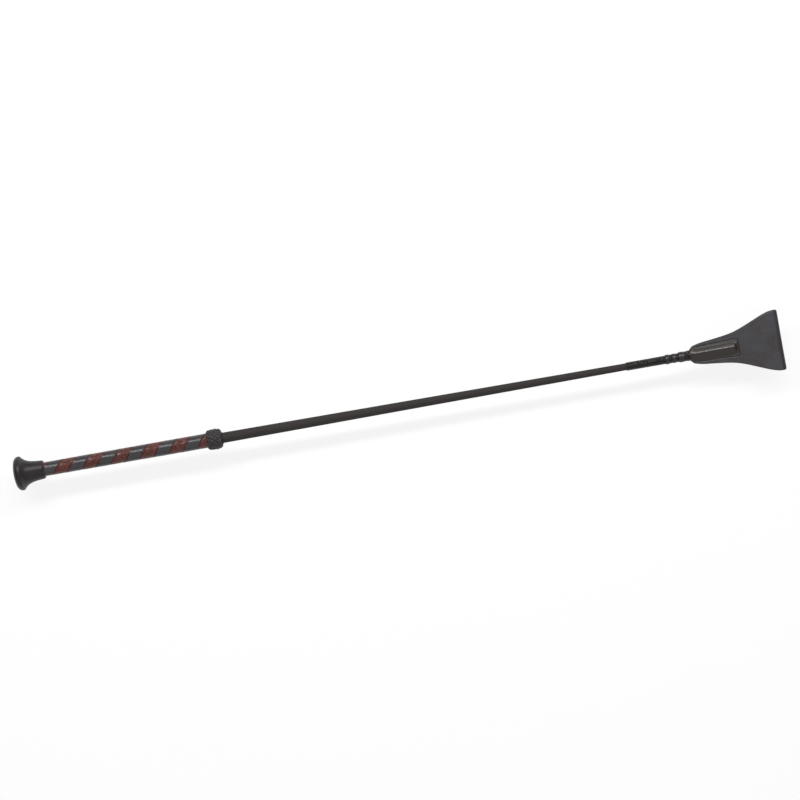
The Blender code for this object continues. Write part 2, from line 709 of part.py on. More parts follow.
def add_flap_fan(collection, cutters, material, bend_axis):
    """The free folded part of the flap, which bends on the line in front of the cross seam."""
    reach = flap_half_width(FLAP_END) + FLAP_CORNER_RADIUS
    folded_sheet = prism("flap_folded_end", fan_side_profile(), reach, upright=False)
    fan = add_object("flap_folded_end", folded_sheet, material, collection)
    cutter_mesh = prism("flap_outline", fan_outline(), FOLD_HALF_HEIGHT * 2, upright=True)
    cutter = bpy.data.objects.new("flap_outline", cutter_mesh)
    cutters.objects.link(cutter)
    cutter.hide_render = True
    cutter.display_type = "WIRE"
    for moved in (fan, cutter):
        moved.data.transform(Matrix.Translation((-BEND_LINE, 0.0, 0.0)))
        moved.parent = bend_axis
    cut = fan.modifiers.new("Outline", "BOOLEAN")
    cut.operation = "INTERSECT"
    cut.solver = "EXACT"
    cut.object = cutter


def seam_route():
    """The seam's points in plan: a thick middle and a thin end for each stitch."""
    start = FLAP_START + SEAM_START
    corners = (
        Vector((start, -SEAM_HALF_WIDTH_REAR, 0.0)),
        Vector((SEAM_END, -SEAM_HALF_WIDTH_FRONT, 0.0)),
        Vector((SEAM_END, SEAM_HALF_WIDTH_FRONT, 0.0)),
        Vector((start, SEAM_HALF_WIDTH_REAR, 0.0)),
    )
    route = [(corners[0], STITCH_DIP)]
    for first, last in zip(corners, corners[1:]):
        stitches = round((last - first).length / STITCH_PITCH)
        for half in range(1, 2 * stitches + 1):
            fullness = 1.0 if half % 2 else STITCH_DIP
            route.append((first.lerp(last, half / (2 * stitches)), fullness))
    return route


def add_seam(name, direction, material, collection):
    """The seam's thread on one face of the flap, full in each stitch and thin between two."""
    height = direction * (LAYERS_HALF_HEIGHT + FIT_GAP + STITCH_WIDTH / 2)
    route = [(Vector((point.x, point.y, height)), fullness) for point, fullness in seam_route()]
    add_thread(name, route, STITCH_WIDTH, 0, material, collection)


def add_seams(collection):
    material = make_material("seam_thread", (0.02, 0.018, 0.018), 0.6)
    add_seam("upper_seam_stitches", 1, material, collection)
    add_seam("lower_seam_stitches", -1, material, collection)


def add_empty(name, location, collection, rotation=(0.0, 0.0, 0.0)):
    empty = bpy.data.objects.new(name, None)
    empty.location = location
    empty.rotation_euler = rotation
    collection.objects.link(empty)
    return empty


def main():
    clear_scene()
    collection = make_collection(COLLECTION_NAME)
    cutters = make_collection(CUTTER_COLLECTION_NAME)
    crop_axis = add_empty("crop_axis", (0.0, 0.0, 0.0), collection, (0.0, math.pi / 2, 0.0))
    bend_axis = add_empty("bend_axis", (BEND_LINE, 0.0, 0.0), collection)
    add_core_rod(collection, crop_axis)
    add_shaft_cover(collection, crop_axis)
    add_grip_core(collection, crop_axis)
    add_grip_strips(collection)
    add_end_cap(collection, crop_axis)
    add_knot_underlay(collection, crop_axis)
    add_braided_knot(collection)
    add_windings(collection)
    add_bands(collection, crop_axis)
    flap_leather = add_flap_root(collection)
    add_flap_fan(collection, cutters, flap_leather, bend_axis)
    add_seams(collection)


main()
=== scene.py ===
"""Looks of a riding crop: rubber cap, two-colour leather grip, woven leather knot, braided
shaft, waxed thread windings between leather bands, and a folded, stitched leather flap, in a
white studio.

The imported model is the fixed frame.  The crop lies along +X and its flap lies in the XY plane.
"""
import json
import math

import bmesh
import bpy
import numpy as np
from bpy.props import FloatProperty, FloatVectorProperty, IntProperty, PointerProperty
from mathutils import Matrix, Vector


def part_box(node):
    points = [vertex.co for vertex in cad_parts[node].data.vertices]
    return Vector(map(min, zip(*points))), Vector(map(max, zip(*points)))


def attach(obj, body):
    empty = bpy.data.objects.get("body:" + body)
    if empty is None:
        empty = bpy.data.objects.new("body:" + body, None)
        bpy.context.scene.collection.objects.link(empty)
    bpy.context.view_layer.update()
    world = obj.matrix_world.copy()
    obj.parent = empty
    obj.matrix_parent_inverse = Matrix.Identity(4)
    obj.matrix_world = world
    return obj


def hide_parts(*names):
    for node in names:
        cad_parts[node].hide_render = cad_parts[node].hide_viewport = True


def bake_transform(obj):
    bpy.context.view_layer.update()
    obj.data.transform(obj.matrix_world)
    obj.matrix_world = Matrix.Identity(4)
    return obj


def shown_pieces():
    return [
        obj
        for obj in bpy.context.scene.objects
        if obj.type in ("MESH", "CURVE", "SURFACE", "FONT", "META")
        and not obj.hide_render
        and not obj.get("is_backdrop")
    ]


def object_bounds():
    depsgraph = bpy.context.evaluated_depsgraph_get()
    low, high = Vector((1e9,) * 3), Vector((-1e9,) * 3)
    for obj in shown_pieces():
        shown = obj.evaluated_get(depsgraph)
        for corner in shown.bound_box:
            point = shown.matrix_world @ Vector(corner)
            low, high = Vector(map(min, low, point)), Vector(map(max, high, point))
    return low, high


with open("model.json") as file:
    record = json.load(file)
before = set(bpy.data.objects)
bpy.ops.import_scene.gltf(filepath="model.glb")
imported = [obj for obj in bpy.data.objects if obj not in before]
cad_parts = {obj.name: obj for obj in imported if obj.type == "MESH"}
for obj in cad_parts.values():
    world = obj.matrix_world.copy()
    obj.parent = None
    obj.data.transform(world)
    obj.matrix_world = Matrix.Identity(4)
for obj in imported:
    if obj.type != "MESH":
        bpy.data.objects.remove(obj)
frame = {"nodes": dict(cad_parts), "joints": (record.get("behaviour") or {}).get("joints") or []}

bl_info = {
    "name": "Riding Crop Looks",
    "version": (1, 0, 0),
    "blender": (4, 5, 0),
    "location": "View3D > Sidebar > Riding Crop",
    "description": "Finishes of a riding crop: rubber, wrapped leather, braid, thread and flap",
    "category": "Object",
}

HANDLE = "handle_and_shaft"
MM = 0.001
MERGE_DISTANCE = 0.0000002
SHARP_ANGLE = math.radians(50)
IMAGE_WIDTH, IMAGE_HEIGHT = 800, 800

# Clearances and walls that the frame's boxes don't give
FIT_GAP = 0.00025
LAYER_GAP = 0.0003
ROD_BUTT_RADIUS = 0.0036
ROD_TIP_RADIUS = 0.00175
COVER_WALL = 0.00055
GRIP_CORE_REAR_WALL = 0.0008
GRIP_CORE_FRONT_WALL = 0.00105
WRAP_THICKNESS = 0.001
NECK_LEATHER_THICKNESS = 0.0007
BINDING_LENGTH = 0.0044

# Places along the crop, from the frame
CAD_BOX = [list(corner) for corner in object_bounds()]
CAP_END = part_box("end_cap")[1].x
CAP_RIM_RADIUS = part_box("end_cap")[1].z
GRIP_INSIDE_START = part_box("grip_core")[0].x
GRIP_INSIDE_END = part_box("grip_core")[1].x
KNOT_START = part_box("braided_knot")[0].x
KNOT_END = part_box("braided_knot")[1].x
SHAFT_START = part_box("knot_underlay")[1].x
COVER_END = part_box("shaft_cover")[1].x
NECK_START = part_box("flap_upper_leather")[0].x
BANDS = [(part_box(name)[0].x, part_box(name)[1].x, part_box(name)[1].z) for name in (
    "smooth_band_1", "smooth_band_2", "smooth_band_3")]
WHIPPING_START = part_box("shaft_whipping")[0].x
BINDING_START = BANDS[2][1] + FIT_GAP / 2
FLAP_START = BINDING_START + BINDING_LENGTH
FLAP_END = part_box("flap_folded_end")[1].x
FLAP_LENGTH = FLAP_END - FLAP_START
ROD_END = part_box("core_rod")[1].x
BEND_LINE = frame["joints"][0]["pos_m"][0]
BEND_LIMIT = math.radians(40)  # each way, as in the part


# Sizes and colours that a user would change


class CapLooks(bpy.types.PropertyGroup):
    colour: FloatVectorProperty(
        name="Rubber colour", description="Colour of the moulded rubber cap", subtype="COLOR",
        size=3, min=0.0, max=1.0, default=(0.0125, 0.0088, 0.0115))
    grain: FloatProperty(
        name="Moulded grain", description="Depth of the fine grain left by the mould",
        unit="LENGTH", default=0.000006, min=0.0, precision=6)


class GripLooks(bpy.types.PropertyGroup):
    brown: FloatVectorProperty(
        name="Brown leather", description="Colour of the tooled strip", subtype="COLOR",
        size=3, min=0.0, max=1.0, default=(0.088, 0.0170, 0.0120))
    black: FloatVectorProperty(
        name="Black leather", description="Colour of the plain strip", subtype="COLOR",
        size=3, min=0.0, max=1.0, default=(0.036, 0.032, 0.035))
    lead: FloatProperty(
        name="Lead", description="Travel of each strip along the crop in one turn",
        unit="LENGTH", default=0.0243, min=0.01, precision=5)
    brown_width: FloatProperty(
        name="Brown strip width", description="Width of the brown strip along the crop",
        unit="LENGTH", default=0.0122, min=0.002, precision=5)
    seam: FloatProperty(
        name="Seam", description="Open groove between two strips along the crop",
        unit="LENGTH", default=0.0001, min=0.0, precision=5)
    brown_at_top: FloatProperty(
        name="Brown strip at top", description="Where the brown strip crosses the top of the grip",
        unit="LENGTH", default=0.0425, precision=5)
    tooling_depth: FloatProperty(
        name="Tooling depth", description="Depth of the lines pressed into the brown strip",
        unit="LENGTH", default=0.00016, min=0.0, precision=5)
    tooling_length: FloatProperty(
        name="Tooling repeat", description="Length of one lozenge of the tooled pattern",
        unit="LENGTH", default=0.0076, min=0.002, precision=5)


class KnotLooks(bpy.types.PropertyGroup):
    colour: FloatVectorProperty(
        name="Lace colour", description="Colour of the woven leather lace", subtype="COLOR",
        size=3, min=0.0, max=1.0, default=(0.0150, 0.0115, 0.0140))
    leads: IntProperty(
        name="Leads", description="Strands side by side across the knot", default=5, min=2)
    bights: IntProperty(
        name="Bights", description="Scallops round each edge of the knot", default=12, min=3)
    lace_width: FloatProperty(
        name="Lace width", description="Width of the lace", unit="LENGTH", default=0.0032,
        min=0.0005, precision=5)
    lace_thickness: FloatProperty(
        name="Lace thickness", description="Thickness of the lace", unit="LENGTH",
        default=0.00095, min=0.0002, precision=5)


class ShaftLooks(bpy.types.PropertyGroup):
    colour: FloatVectorProperty(
        name="Braid colour", description="Colour of the shaft's braided cover", subtype="COLOR",
        size=3, min=0.0, max=1.0, default=(0.026, 0.0215, 0.0205))
    strands: IntProperty(
        name="Strands", description="Strands of the braid that run each way round the shaft",
        default=36, min=4)
    strand_pitch: FloatProperty(
        name="Strand pitch", description="Distance between strands along the shaft",
        unit="LENGTH", default=0.0008, min=0.0001, precision=5)


class ThreadLooks(bpy.types.PropertyGroup):
    colour: FloatVectorProperty(
        name="Thread colour", description="Colour of the waxed winding thread", subtype="COLOR",
        size=3, min=0.0, max=1.0, default=(0.0085, 0.0070, 0.0060))
    diameter: FloatProperty(
        name="Thread diameter", description="Diameter of the winding thread", unit="LENGTH",
        default=0.0005, min=0.0001, precision=5)
    steps: IntProperty(
        name="Steps in a turn", description="Points in one turn of thread", default=30, min=8)


class BandLooks(bpy.types.PropertyGroup):
    colour: FloatVectorProperty(
        name="Band colour", description="Colour of the smooth leather bands", subtype="COLOR",
        size=3, min=0.0, max=1.0, default=(0.0130, 0.0100, 0.0092))
    crown: FloatProperty(
        name="Crown", description="Height of a band's middle over its edges", unit="LENGTH",
        default=0.0003, min=0.0, precision=5)
    overlap: FloatProperty(
        name="Overlap", description="How far a band reaches over the thread on each side",
        unit="LENGTH", default=0.00045, min=0.0, precision=5)


class FlapLooks(bpy.types.PropertyGroup):
    wing_colour: FloatVectorProperty(
        name="Wing leather", description="Colour of the flat leather", subtype="COLOR",
        size=3, min=0.0, max=1.0, default=(0.035, 0.0325, 0.037))
    # the wing sheen is a painted bluish reflection, laid on the flat leather in random patches
    painted_sheen_colour: FloatVectorProperty(
        name="Wing sheen",
        description="Cooler, paler tone where the flat leather is handled least",
        subtype="COLOR", size=3, min=0.0, max=1.0, default=(0.040, 0.041, 0.050))
    pocket_colour: FloatVectorProperty(
        name="Pocket leather", description="Colour of the leather stretched over the shaft's tip",
        subtype="COLOR", size=3, min=0.0, max=1.0, default=(0.022, 0.0155, 0.0125))
    thickness: FloatProperty(
        name="Leather thickness", description="Thickness of each of the two layers",
        unit="LENGTH", default=0.00135, min=0.0003, precision=5)
    ripple: FloatProperty(
        name="Ripple", description="Height of the leather's gentle waves", unit="LENGTH",
        default=0.00018, min=0.0, precision=5)


class SeamLooks(bpy.types.PropertyGroup):
    colour: FloatVectorProperty(
        name="Seam thread", description="Colour of the sewing thread", subtype="COLOR",
        size=3, min=0.0, max=1.0, default=(0.0055, 0.0050, 0.0050))
    pitch: FloatProperty(
        name="Stitch pitch", description="Distance from one stitch to the next", unit="LENGTH",
        default=0.0019, min=0.0005, precision=5)
    width: FloatProperty(
        name="Stitch width", description="Thickness of the sewing thread", unit="LENGTH",
        default=0.0005, min=0.0001, precision=5)


class StageLooks(bpy.types.PropertyGroup):
    floor_colour: FloatVectorProperty(
        name="Floor colour", description="Colour of the studio floor", subtype="COLOR",
        size=3, min=0.0, max=1.0, default=(0.16, 0.16, 0.16))
    floor_glow: FloatProperty(
        name="Floor glow", description="Light that comes up through the floor's paper",
        default=0.84, min=0.0)
    picture_turn: FloatProperty(
        name="Turn in the picture", description="How far the crop rises to the right",
        subtype="ANGLE", default=math.radians(10))
    lens: FloatProperty(
        name="Lens", description="Focal length of the camera in millimetres", default=100.0,
        min=20.0)
    key_strength: FloatProperty(
        name="Key light", description="Power of the long softbox in watts",
        default=16.0, min=0.0)
    fill_strength: FloatProperty(
        name="Fill light", description="Power of the broad softbox in watts",
        default=11.5, min=0.0)


LOOKS = {
    "crop_cap": CapLooks, "crop_grip": GripLooks, "crop_knot": KnotLooks,
    "crop_shaft": ShaftLooks, "crop_thread": ThreadLooks, "crop_bands": BandLooks,
    "crop_flap": FlapLooks, "crop_seam": SeamLooks, "crop_stage": StageLooks,
}


# Shapes


def mix(first, second, share):
    """Value at a share of the way from the first to the second."""
    return first + (second - first) * share


def ease(share):
    """Smooth step from 0 to 1."""
    share = min(max(share, 0.0), 1.0)
    return share * share * (3 - 2 * share)


def rod_radius(x):
    share = (x - SHAFT_START) / (ROD_END - SHAFT_START)
    return mix(ROD_BUTT_RADIUS, ROD_TIP_RADIUS, min(max(share, 0.0), 1.0))


def cover_radius(x):
    return rod_radius(x) + FIT_GAP + COVER_WALL


def wrap_bore(x):
    """Radius on which the two leather strips lie."""
    share = min(max((x - CAP_END) / (KNOT_START - CAP_END), 0.0), 1.0)
    return ROD_BUTT_RADIUS + 2 * FIT_GAP + mix(GRIP_CORE_REAR_WALL, GRIP_CORE_FRONT_WALL, share)


def wrap_radius(x):
    return wrap_bore(x) + WRAP_THICKNESS


NECK_RADIUS = rod_radius(NECK_START) + FIT_GAP + NECK_LEATHER_THICKNESS
BINDING_FLARE = 0.00065


def neck_radius(x):
    """Outside of the leather neck under the whipping, the bands and the binding."""
    return NECK_RADIUS + BINDING_FLARE * ease((x - BINDING_START) / BINDING_LENGTH)


def arc(centre, radii, start_degrees, end_degrees, steps):
    """Points on an ellipse's arc: (along, radius) pairs about a centre."""
    points = []
    for step in range(steps + 1):
        angle = math.radians(mix(start_degrees, end_degrees, step / steps))
        points.append((
            centre[0] + radii[0] * math.cos(angle), centre[1] + radii[1] * math.sin(angle)))
    return points


def skin(name, rows, pairs, along_closed=False, marks=None):
    """A closed mesh through rows of equally many points, each row once round the piece.

    Pairs are the pattern's places for every row, with one more than its points, so that the
    last face round keeps its place.  Marks are named numbers or vectors for every point.
    """
    points = np.array(rows, dtype=float)
    places = np.array(pairs, dtype=float)
    row_count, column_count = points.shape[:2]
    row_steps = row_count if along_closed else row_count - 1
    row, column = np.meshgrid(np.arange(row_steps), np.arange(column_count), indexing="ij")
    next_row, next_column = (row + 1) % row_count, (column + 1) % column_count
    corners = np.stack([
        row * column_count + column, row * column_count + next_column,
        next_row * column_count + next_column, next_row * column_count + column,
    ], axis=-1).reshape(-1, 4)
    corner_places = np.stack([
        places[row, column], places[row, column + 1],
        places[row + 1, column + 1], places[row + 1, column],
    ], axis=-2).reshape(-1, 2)
    mesh = bpy.data.meshes.new(name)
    mesh.from_pydata(points.reshape(-1, 3).tolist(), [], corners.tolist())
    pattern = mesh.uv_layers.new(name="UVMap")
    pattern.data.foreach_set("uv", corner_places.astype(np.float32).ravel())
    for mark, values in (marks or {}).items():
        values = np.array(values, dtype=np.float32).reshape(len(mesh.vertices), -1)
        kind, field = ("FLOAT", "value") if values.shape[1] == 1 else ("FLOAT_VECTOR", "vector")
        mesh.attributes.new(mark, kind, "POINT").data.foreach_set(field, values.ravel())
    working = bmesh.new()
    working.from_mesh(mesh)
    bmesh.ops.remove_doubles(working, verts=working.verts, dist=MERGE_DISTANCE)
    open_edges = [edge for edge in working.edges if edge.is_boundary]
    bmesh.ops.holes_fill(working, edges=open_edges, sides=0)
    bmesh.ops.recalc_face_normals(working, faces=working.faces)
    working.to_mesh(mesh)
    working.free()
    mesh.shade_smooth()
    mesh.set_sharp_from_angle(angle=SHARP_ANGLE)
    return mesh


def turned(name, profile, steps, along_closed=False, waviness=None):
    """A mesh turned about the crop's axis from (distance along the crop, radius) pairs.

    Its pattern's places are the distance along the profile in millimetres and the turn.
    """
    rows, pairs, travelled = [], [], 0.0
    for index, (x, radius) in enumerate(profile):
        if index:
            travelled += math.dist(profile[index - 1], profile[index]) / MM
        ring = []
        for step in range(steps):
            angle = math.tau * step / steps
            swelled = radius + (waviness(x, angle) if waviness and radius > 0 else 0.0)
            ring.append((x, swelled * math.sin(angle), swelled * math.cos(angle)))
        rows.append(ring)
        pairs.append([(travelled, step / steps) for step in range(steps + 1)])
    if along_closed:
        travelled += math.dist(profile[-1], profile[0]) / MM
        pairs.append([(travelled, step / steps) for step in range(steps + 1)])
    return skin(name, rows, pairs, along_closed)


def add_piece(name, mesh, material, nodes, body=HANDLE):
    """A finished piece that stands for CAD nodes and rides on a body."""
    if material is not None:
        mesh.materials.clear()
        mesh.materials.append(material)
    made = bpy.data.objects.new(name, mesh)
    bpy.context.scene.collection.objects.link(made)
    if body is not None:
        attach(made, body)
    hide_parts(*nodes)
    return made


# Nodes


class Value:
    """A number or vector that a node gives; sums on it are written as on a Python number."""

    def __init__(self, graph, socket):
        self.graph = graph
        self.socket = socket

    def __add__(self, other):
        return self.graph.maths("ADD", self, other)

    def __sub__(self, other):
        return self.graph.maths("SUBTRACT", self, other)

    def __rsub__(self, other):
        return self.graph.maths("SUBTRACT", other, self)

    def __mul__(self, other):
        return self.graph.maths("MULTIPLY", self, other)

    def __truediv__(self, other):
        return self.graph.maths("DIVIDE", self, other)

    def __abs__(self):
        return self.graph.maths("ABSOLUTE", self)

    __radd__ = __add__
    __rmul__ = __mul__

    def part(self, name):
        """Another output of the node that gives this value."""
        return Value(self.graph, self.socket.node.outputs[name])


class Graph:
    """A node tree, written from its inputs to its output."""

    def __init__(self, tree):
        self.tree = tree
        tree.nodes.clear()

    def node(self, kind, settings=None, sockets=None, out=0):
        """A new node: its settings first, then the values or links of its sockets."""
        made = self.tree.nodes.new(kind)
        for name, setting in (settings or {}).items():
            setattr(made, name, setting)
        for key, value in (sockets or {}).items():
            if isinstance(value, Value):
                self.tree.links.new(value.socket, made.inputs[key])
            else:
                made.inputs[key].default_value = value
        return Value(self, made.outputs[out]) if len(made.outputs) else made

    def maths(self, operation, *values):
        return self.node("ShaderNodeMath", {"operation": operation}, dict(enumerate(values)))

    def sine(self, value):
        return self.maths("SINE", value)

    def cosine(self, value):
        return self.maths("COSINE", value)

    def whole(self, value):
        return self.maths("FLOOR", value)

    def fraction(self, value):
        return self.maths("FRACT", value)

    def greater(self, first, second):
        return self.maths("MAXIMUM", first, second)

    def lesser(self, first, second):
        return self.maths("MINIMUM", first, second)

    def eased(self, value, start, end, first=0.0, last=1.0):
        """A smooth step from first to last while the value goes from start to end."""
        return self.node(
            "ShaderNodeMapRange", {"interpolation_type": "SMOOTHSTEP"},
            {0: value, 1: start, 2: end, 3: first, 4: last})

    def bell(self, value, width):
        """1 where the value is 0, dying away over the width."""
        share = value / width
        return self.maths("EXPONENT", 0.0 - share * share)

    def blend(self, factor, first, second):
        """A colour between two colours."""
        first, second = [
            (*colour, 1.0) if not isinstance(colour, Value) and len(colour) == 3 else colour
            for colour in (first, second)]
        return self.node(
            "ShaderNodeMix", {"data_type": "RGBA"}, {0: factor, 6: first, 7: second}, out=2)

    def scaled(self, vector, factor):
        return self.node(
            "ShaderNodeVectorMath", {"operation": "SCALE"}, {0: vector, "Scale": factor})

    def stretched(self, vector, factors):
        return self.node(
            "ShaderNodeVectorMath", {"operation": "MULTIPLY"}, {0: vector, 1: factors})

    def split(self, vector):
        separate = self.node("ShaderNodeSeparateXYZ", sockets={0: vector})
        return separate, separate.part("Y"), separate.part("Z")

    def joined(self, x, y, z):
        return self.node("ShaderNodeCombineXYZ", sockets={0: x, 1: y, 2: z})

    def noise(self, place, scale, detail=3.0, roughness=0.55):
        """Cloudy variation round a half; the place is in millimetres."""
        return self.node("ShaderNodeTexNoise", sockets={
            "Vector": place, "Scale": scale, "Detail": detail, "Roughness": roughness})

    def pores(self, place, cell):
        """Leather grain: 0 in the creases between pebbles of the cell's size, 1 on them."""
        edge = self.node(
            "ShaderNodeTexVoronoi", {"feature": "DISTANCE_TO_EDGE"},
            {"Vector": place, "Scale": 1.0 / cell})
        return self.eased(edge, 0.0, 0.22)

    def object_place(self):
        """Place on a rigid piece in millimetres."""
        return self.scaled(self.node("ShaderNodeTexCoord", out="Object"), 1 / MM)

    def own_place(self, name):
        """A place that the piece carries with it, in millimetres."""
        return self.scaled(
            self.node("ShaderNodeAttribute", {"attribute_name": name}, out="Vector"), 1 / MM)

    def pattern_place(self):
        """The piece's own pattern places: millimetres along it and across it."""
        return self.node("ShaderNodeUVMap", {"uv_map": "UVMap"})

    def relief(self, height):
        """A surface normal from heights in millimetres."""
        return self.node("ShaderNodeBump", sockets={
            "Strength": 1.0, "Distance": MM, "Height": height})

    def surface(self, colour, roughness, height=None, constants=None):
        """The finish: colour, roughness, height in millimetres and the shader's own constants."""
        sockets = {"Base Color": colour, "Roughness": roughness, **(constants or {})}
        if height is not None:
            sockets["Normal"] = self.relief(height)
        shader = self.node("ShaderNodeBsdfPrincipled", sockets=sockets)
        self.node("ShaderNodeOutputMaterial", sockets={"Surface": shader})


def new_finish(name):
    material = bpy.data.materials.new(name)
    material.use_nodes = True
    return material, Graph(material.node_tree)


def shade(colour, factor):
    """The colour made lighter or darker."""
    return tuple(min(channel * factor, 1.0) for channel in colour)


# Finishes: scales, widths and heights in millimetres

SCUFFED_FROM, SCUFFED_FULLY = 12.6, 14.3  # distance from the cap's axis
TOOLED_REACH = 2.5
TOOLED_HALF_LINE = 0.24
TOOLED_BORDER = 3.9
STRIP_HALF_WIDTH = 5.0
YARNS_IN_STRAND = 5
THREAD_PLY_LENGTH = 0.5
UNDERLAY_CORD = 0.8
GLOW_RISE = 0.12
GLOW_RISE_START, GLOW_RISE_END = 500.0, 2400.0  # distance from the crop's middle


def cap_rubber(looks):
    """Satin moulded rubber, a little scuffed round the rim."""
    material, graph = new_finish("cap_rubber")
    place = graph.object_place()
    y, z = graph.split(place)[1:]
    radius = graph.maths("SQRT", y * y + z * z)
    bloom = graph.noise(place, 0.11, 4.0)
    scratches = graph.noise(graph.stretched(place, (2.4, 1.0, 1.0)), 0.9, 5.0, 0.7)
    scuff = graph.eased(scratches, 0.56, 0.72)
    rim = graph.eased(radius, SCUFFED_FROM, SCUFFED_FULLY) * scuff
    grain = graph.noise(place, 5.5, 2.0)
    colour = graph.blend(
        graph.eased(bloom, 0.3, 0.75), shade(looks.colour, 0.85), shade(looks.colour, 1.2))
    colour = graph.blend(rim * 0.35, colour, shade(looks.colour, 2.6))
    roughness = 0.40 + graph.eased(bloom, 0.3, 0.8) * 0.07 + rim * 0.12 + grain * 0.04
    height = grain * (looks.grain / MM * 2) + graph.noise(place, 0.35, 2.0) * 0.02 - rim * 0.004
    graph.surface(colour, roughness, height, {"Specular IOR Level": 0.42})
    return material


def tooling(graph, along, across, looks):
    """Lines pressed into leather: two crossing waves with a lozenge in each eye, and borders.

    Gives where the leather is pressed down and where it stands up beside the lines, from 0 to 1.
    """
    repeat = looks.tooling_length / MM
    angle = along * (math.pi / repeat)
    slope = graph.cosine(angle) * (TOOLED_REACH * math.pi / repeat)
    stretch = graph.maths("SQRT", slope * slope + 1.0)
    wave = graph.sine(angle) * TOOLED_REACH
    first = abs(across - wave) / stretch
    second = abs(across + wave) / stretch
    border = abs(abs(across) - TOOLED_BORDER)
    nearest = graph.lesser(graph.lesser(first, second), border)
    lozenge_along = abs(graph.fraction(along / repeat) - 0.5) * repeat
    lozenge = abs(lozenge_along * 0.62 + abs(across) - 1.0)
    nearest = graph.lesser(nearest, lozenge)
    line = graph.eased(nearest, TOOLED_HALF_LINE, 0.04)
    raised = graph.bell(nearest - 0.46, 0.16)
    return line, raised


def grip_leather(name, base, looks, tooled):
    """Smooth drum-dyed leather with fine grain, with painted shade towards the strip's cut edges.
    """
    material, graph = new_finish(name)
    place = graph.object_place()
    pattern = graph.pattern_place()
    along, across = graph.split(pattern)[:2]
    mottle = graph.noise(place, 0.28, 5.0)
    cloud = graph.noise(place, 0.07, 2.0)
    pore = graph.pores(place, 0.42)
    folds = graph.noise(graph.stretched(pattern, (0.25, 1.6, 1.0)), 1.0, 4.0, 0.6)
    crease = graph.eased(folds, 0.62, 0.78)
    tint = graph.eased(mottle, 0.25, 0.75) * 0.6 + graph.eased(cloud, 0.3, 0.7) * 0.4
    colour = graph.blend(tint, shade(base, 0.78), shade(base, 1.25))
    edge = graph.eased(abs(across), STRIP_HALF_WIDTH - 0.45, STRIP_HALF_WIDTH + 0.1)
    # darker towards the cut edges: painted shade of the seam groove between the strips
    colour = graph.blend(edge * 0.5, colour, shade(base, 0.35))
    roughness = 0.27 + mottle * 0.12 + edge * 0.15
    dents = graph.noise(place, 0.7, 3.0)
    height = pore * 0.0055 + mottle * 0.06 + dents * 0.035 - crease * 0.01
    if tooled:
        line, raised = tooling(graph, along, across, looks)
        # painted shade in the pressed lines, and a painted highlight on the leather standing up
        # beside them
        colour = graph.blend(line * 0.6, colour, shade(base, 0.3))
        colour = graph.blend(raised * 0.4, colour, shade(base, 1.9))
        depth = looks.tooling_depth / MM
        height = height - line * depth + raised * (depth * 0.7)
        roughness = roughness + line * 0.1
    graph.surface(colour, roughness, height)
    return material


def knot_lace(looks):
    """Matt leather lace, with a painted highlight in patches along its edges."""
    material, graph = new_finish("knot_lace")
    place = graph.object_place()
    across = graph.split(graph.pattern_place())[1]
    mottle = graph.noise(place, 0.5, 5.0)
    # paler lace edges in patches: a painted highlight
    shine = graph.eased(abs(across), 0.5, 0.88) * graph.eased(mottle, 0.25, 0.55)
    colour = graph.blend(mottle, shade(looks.colour, 0.7), shade(looks.colour, 1.35))
    colour = graph.blend(shine * 0.8, colour, shade(looks.colour, 3.2))
    height = graph.pores(place, 0.35) * 0.015 + mottle * 0.05
    graph.surface(colour, 0.46 + mottle * 0.16, height)
    return material


def shaft_braid(looks):
    """A fine flat braid of matt yarn: two families of strands that cross over and under."""
    material, graph = new_finish("shaft_braid")
    along, turn = graph.split(graph.pattern_place())[:2]
    pitch = looks.strand_pitch / MM
    round_count = turn * float(looks.strands)
    along_count = along / (2 * pitch)
    rising, falling = round_count + along_count, round_count - along_count
    parity = graph.maths("FLOORED_MODULO", graph.whole(rising) + graph.whole(falling), 2.0)
    across_rising = graph.sine(graph.fraction(rising) * math.pi)
    across_falling = graph.sine(graph.fraction(falling) * math.pi)
    top = across_rising * (1.0 - parity) + across_falling * parity
    under = across_falling * (1.0 - parity) + across_rising * parity
    cell = graph.maths("POWER", top, 0.6) * (under * 0.35 + 0.65)
    upper_strand = rising * (1.0 - parity) + falling * parity
    yarn = graph.sine(upper_strand * (math.tau * YARNS_IN_STRAND)) * 0.5 + 0.5
    place = graph.object_place()
    dust = graph.noise(place, 0.12, 4.0)
    # darker where each strand dips under the next and lighter on its crown: painted shade and
    # highlight of the weave
    colour = graph.blend(cell, shade(looks.colour, 0.6), shade(looks.colour, 1.15))
    colour = graph.blend(graph.eased(dust, 0.5, 0.8) * 0.2, colour, shade(looks.colour, 1.8))
    height = cell * 0.05 + yarn * 0.006
    graph.surface(colour, 0.72 + yarn * 0.08, height, {"Specular IOR Level": 0.4})
    return material


def winding_thread(looks):
    """Waxed twisted thread with a bright gloss on each turn."""
    material, graph = new_finish("winding_thread")
    along, across = graph.split(graph.pattern_place())[:2]
    place = graph.object_place()
    ply = graph.sine((along / THREAD_PLY_LENGTH + across * 0.42) * math.tau) * 0.5 + 0.5
    fibre = graph.noise(graph.stretched(place, (3.0, 1.0, 1.0)), 2.2, 3.0)
    # darker in the grooves of the twist and lighter on its crowns: painted shade and painted
    # glints
    colour = graph.blend(ply, shade(looks.colour, 0.6), shade(looks.colour, 1.5))
    height = graph.maths("POWER", ply, 0.5) * 0.05 + fibre * 0.02
    graph.surface(
        colour, 0.3 + fibre * 0.16, height, {"Coat Weight": 0.22, "Coat Roughness": 0.12})
    return material


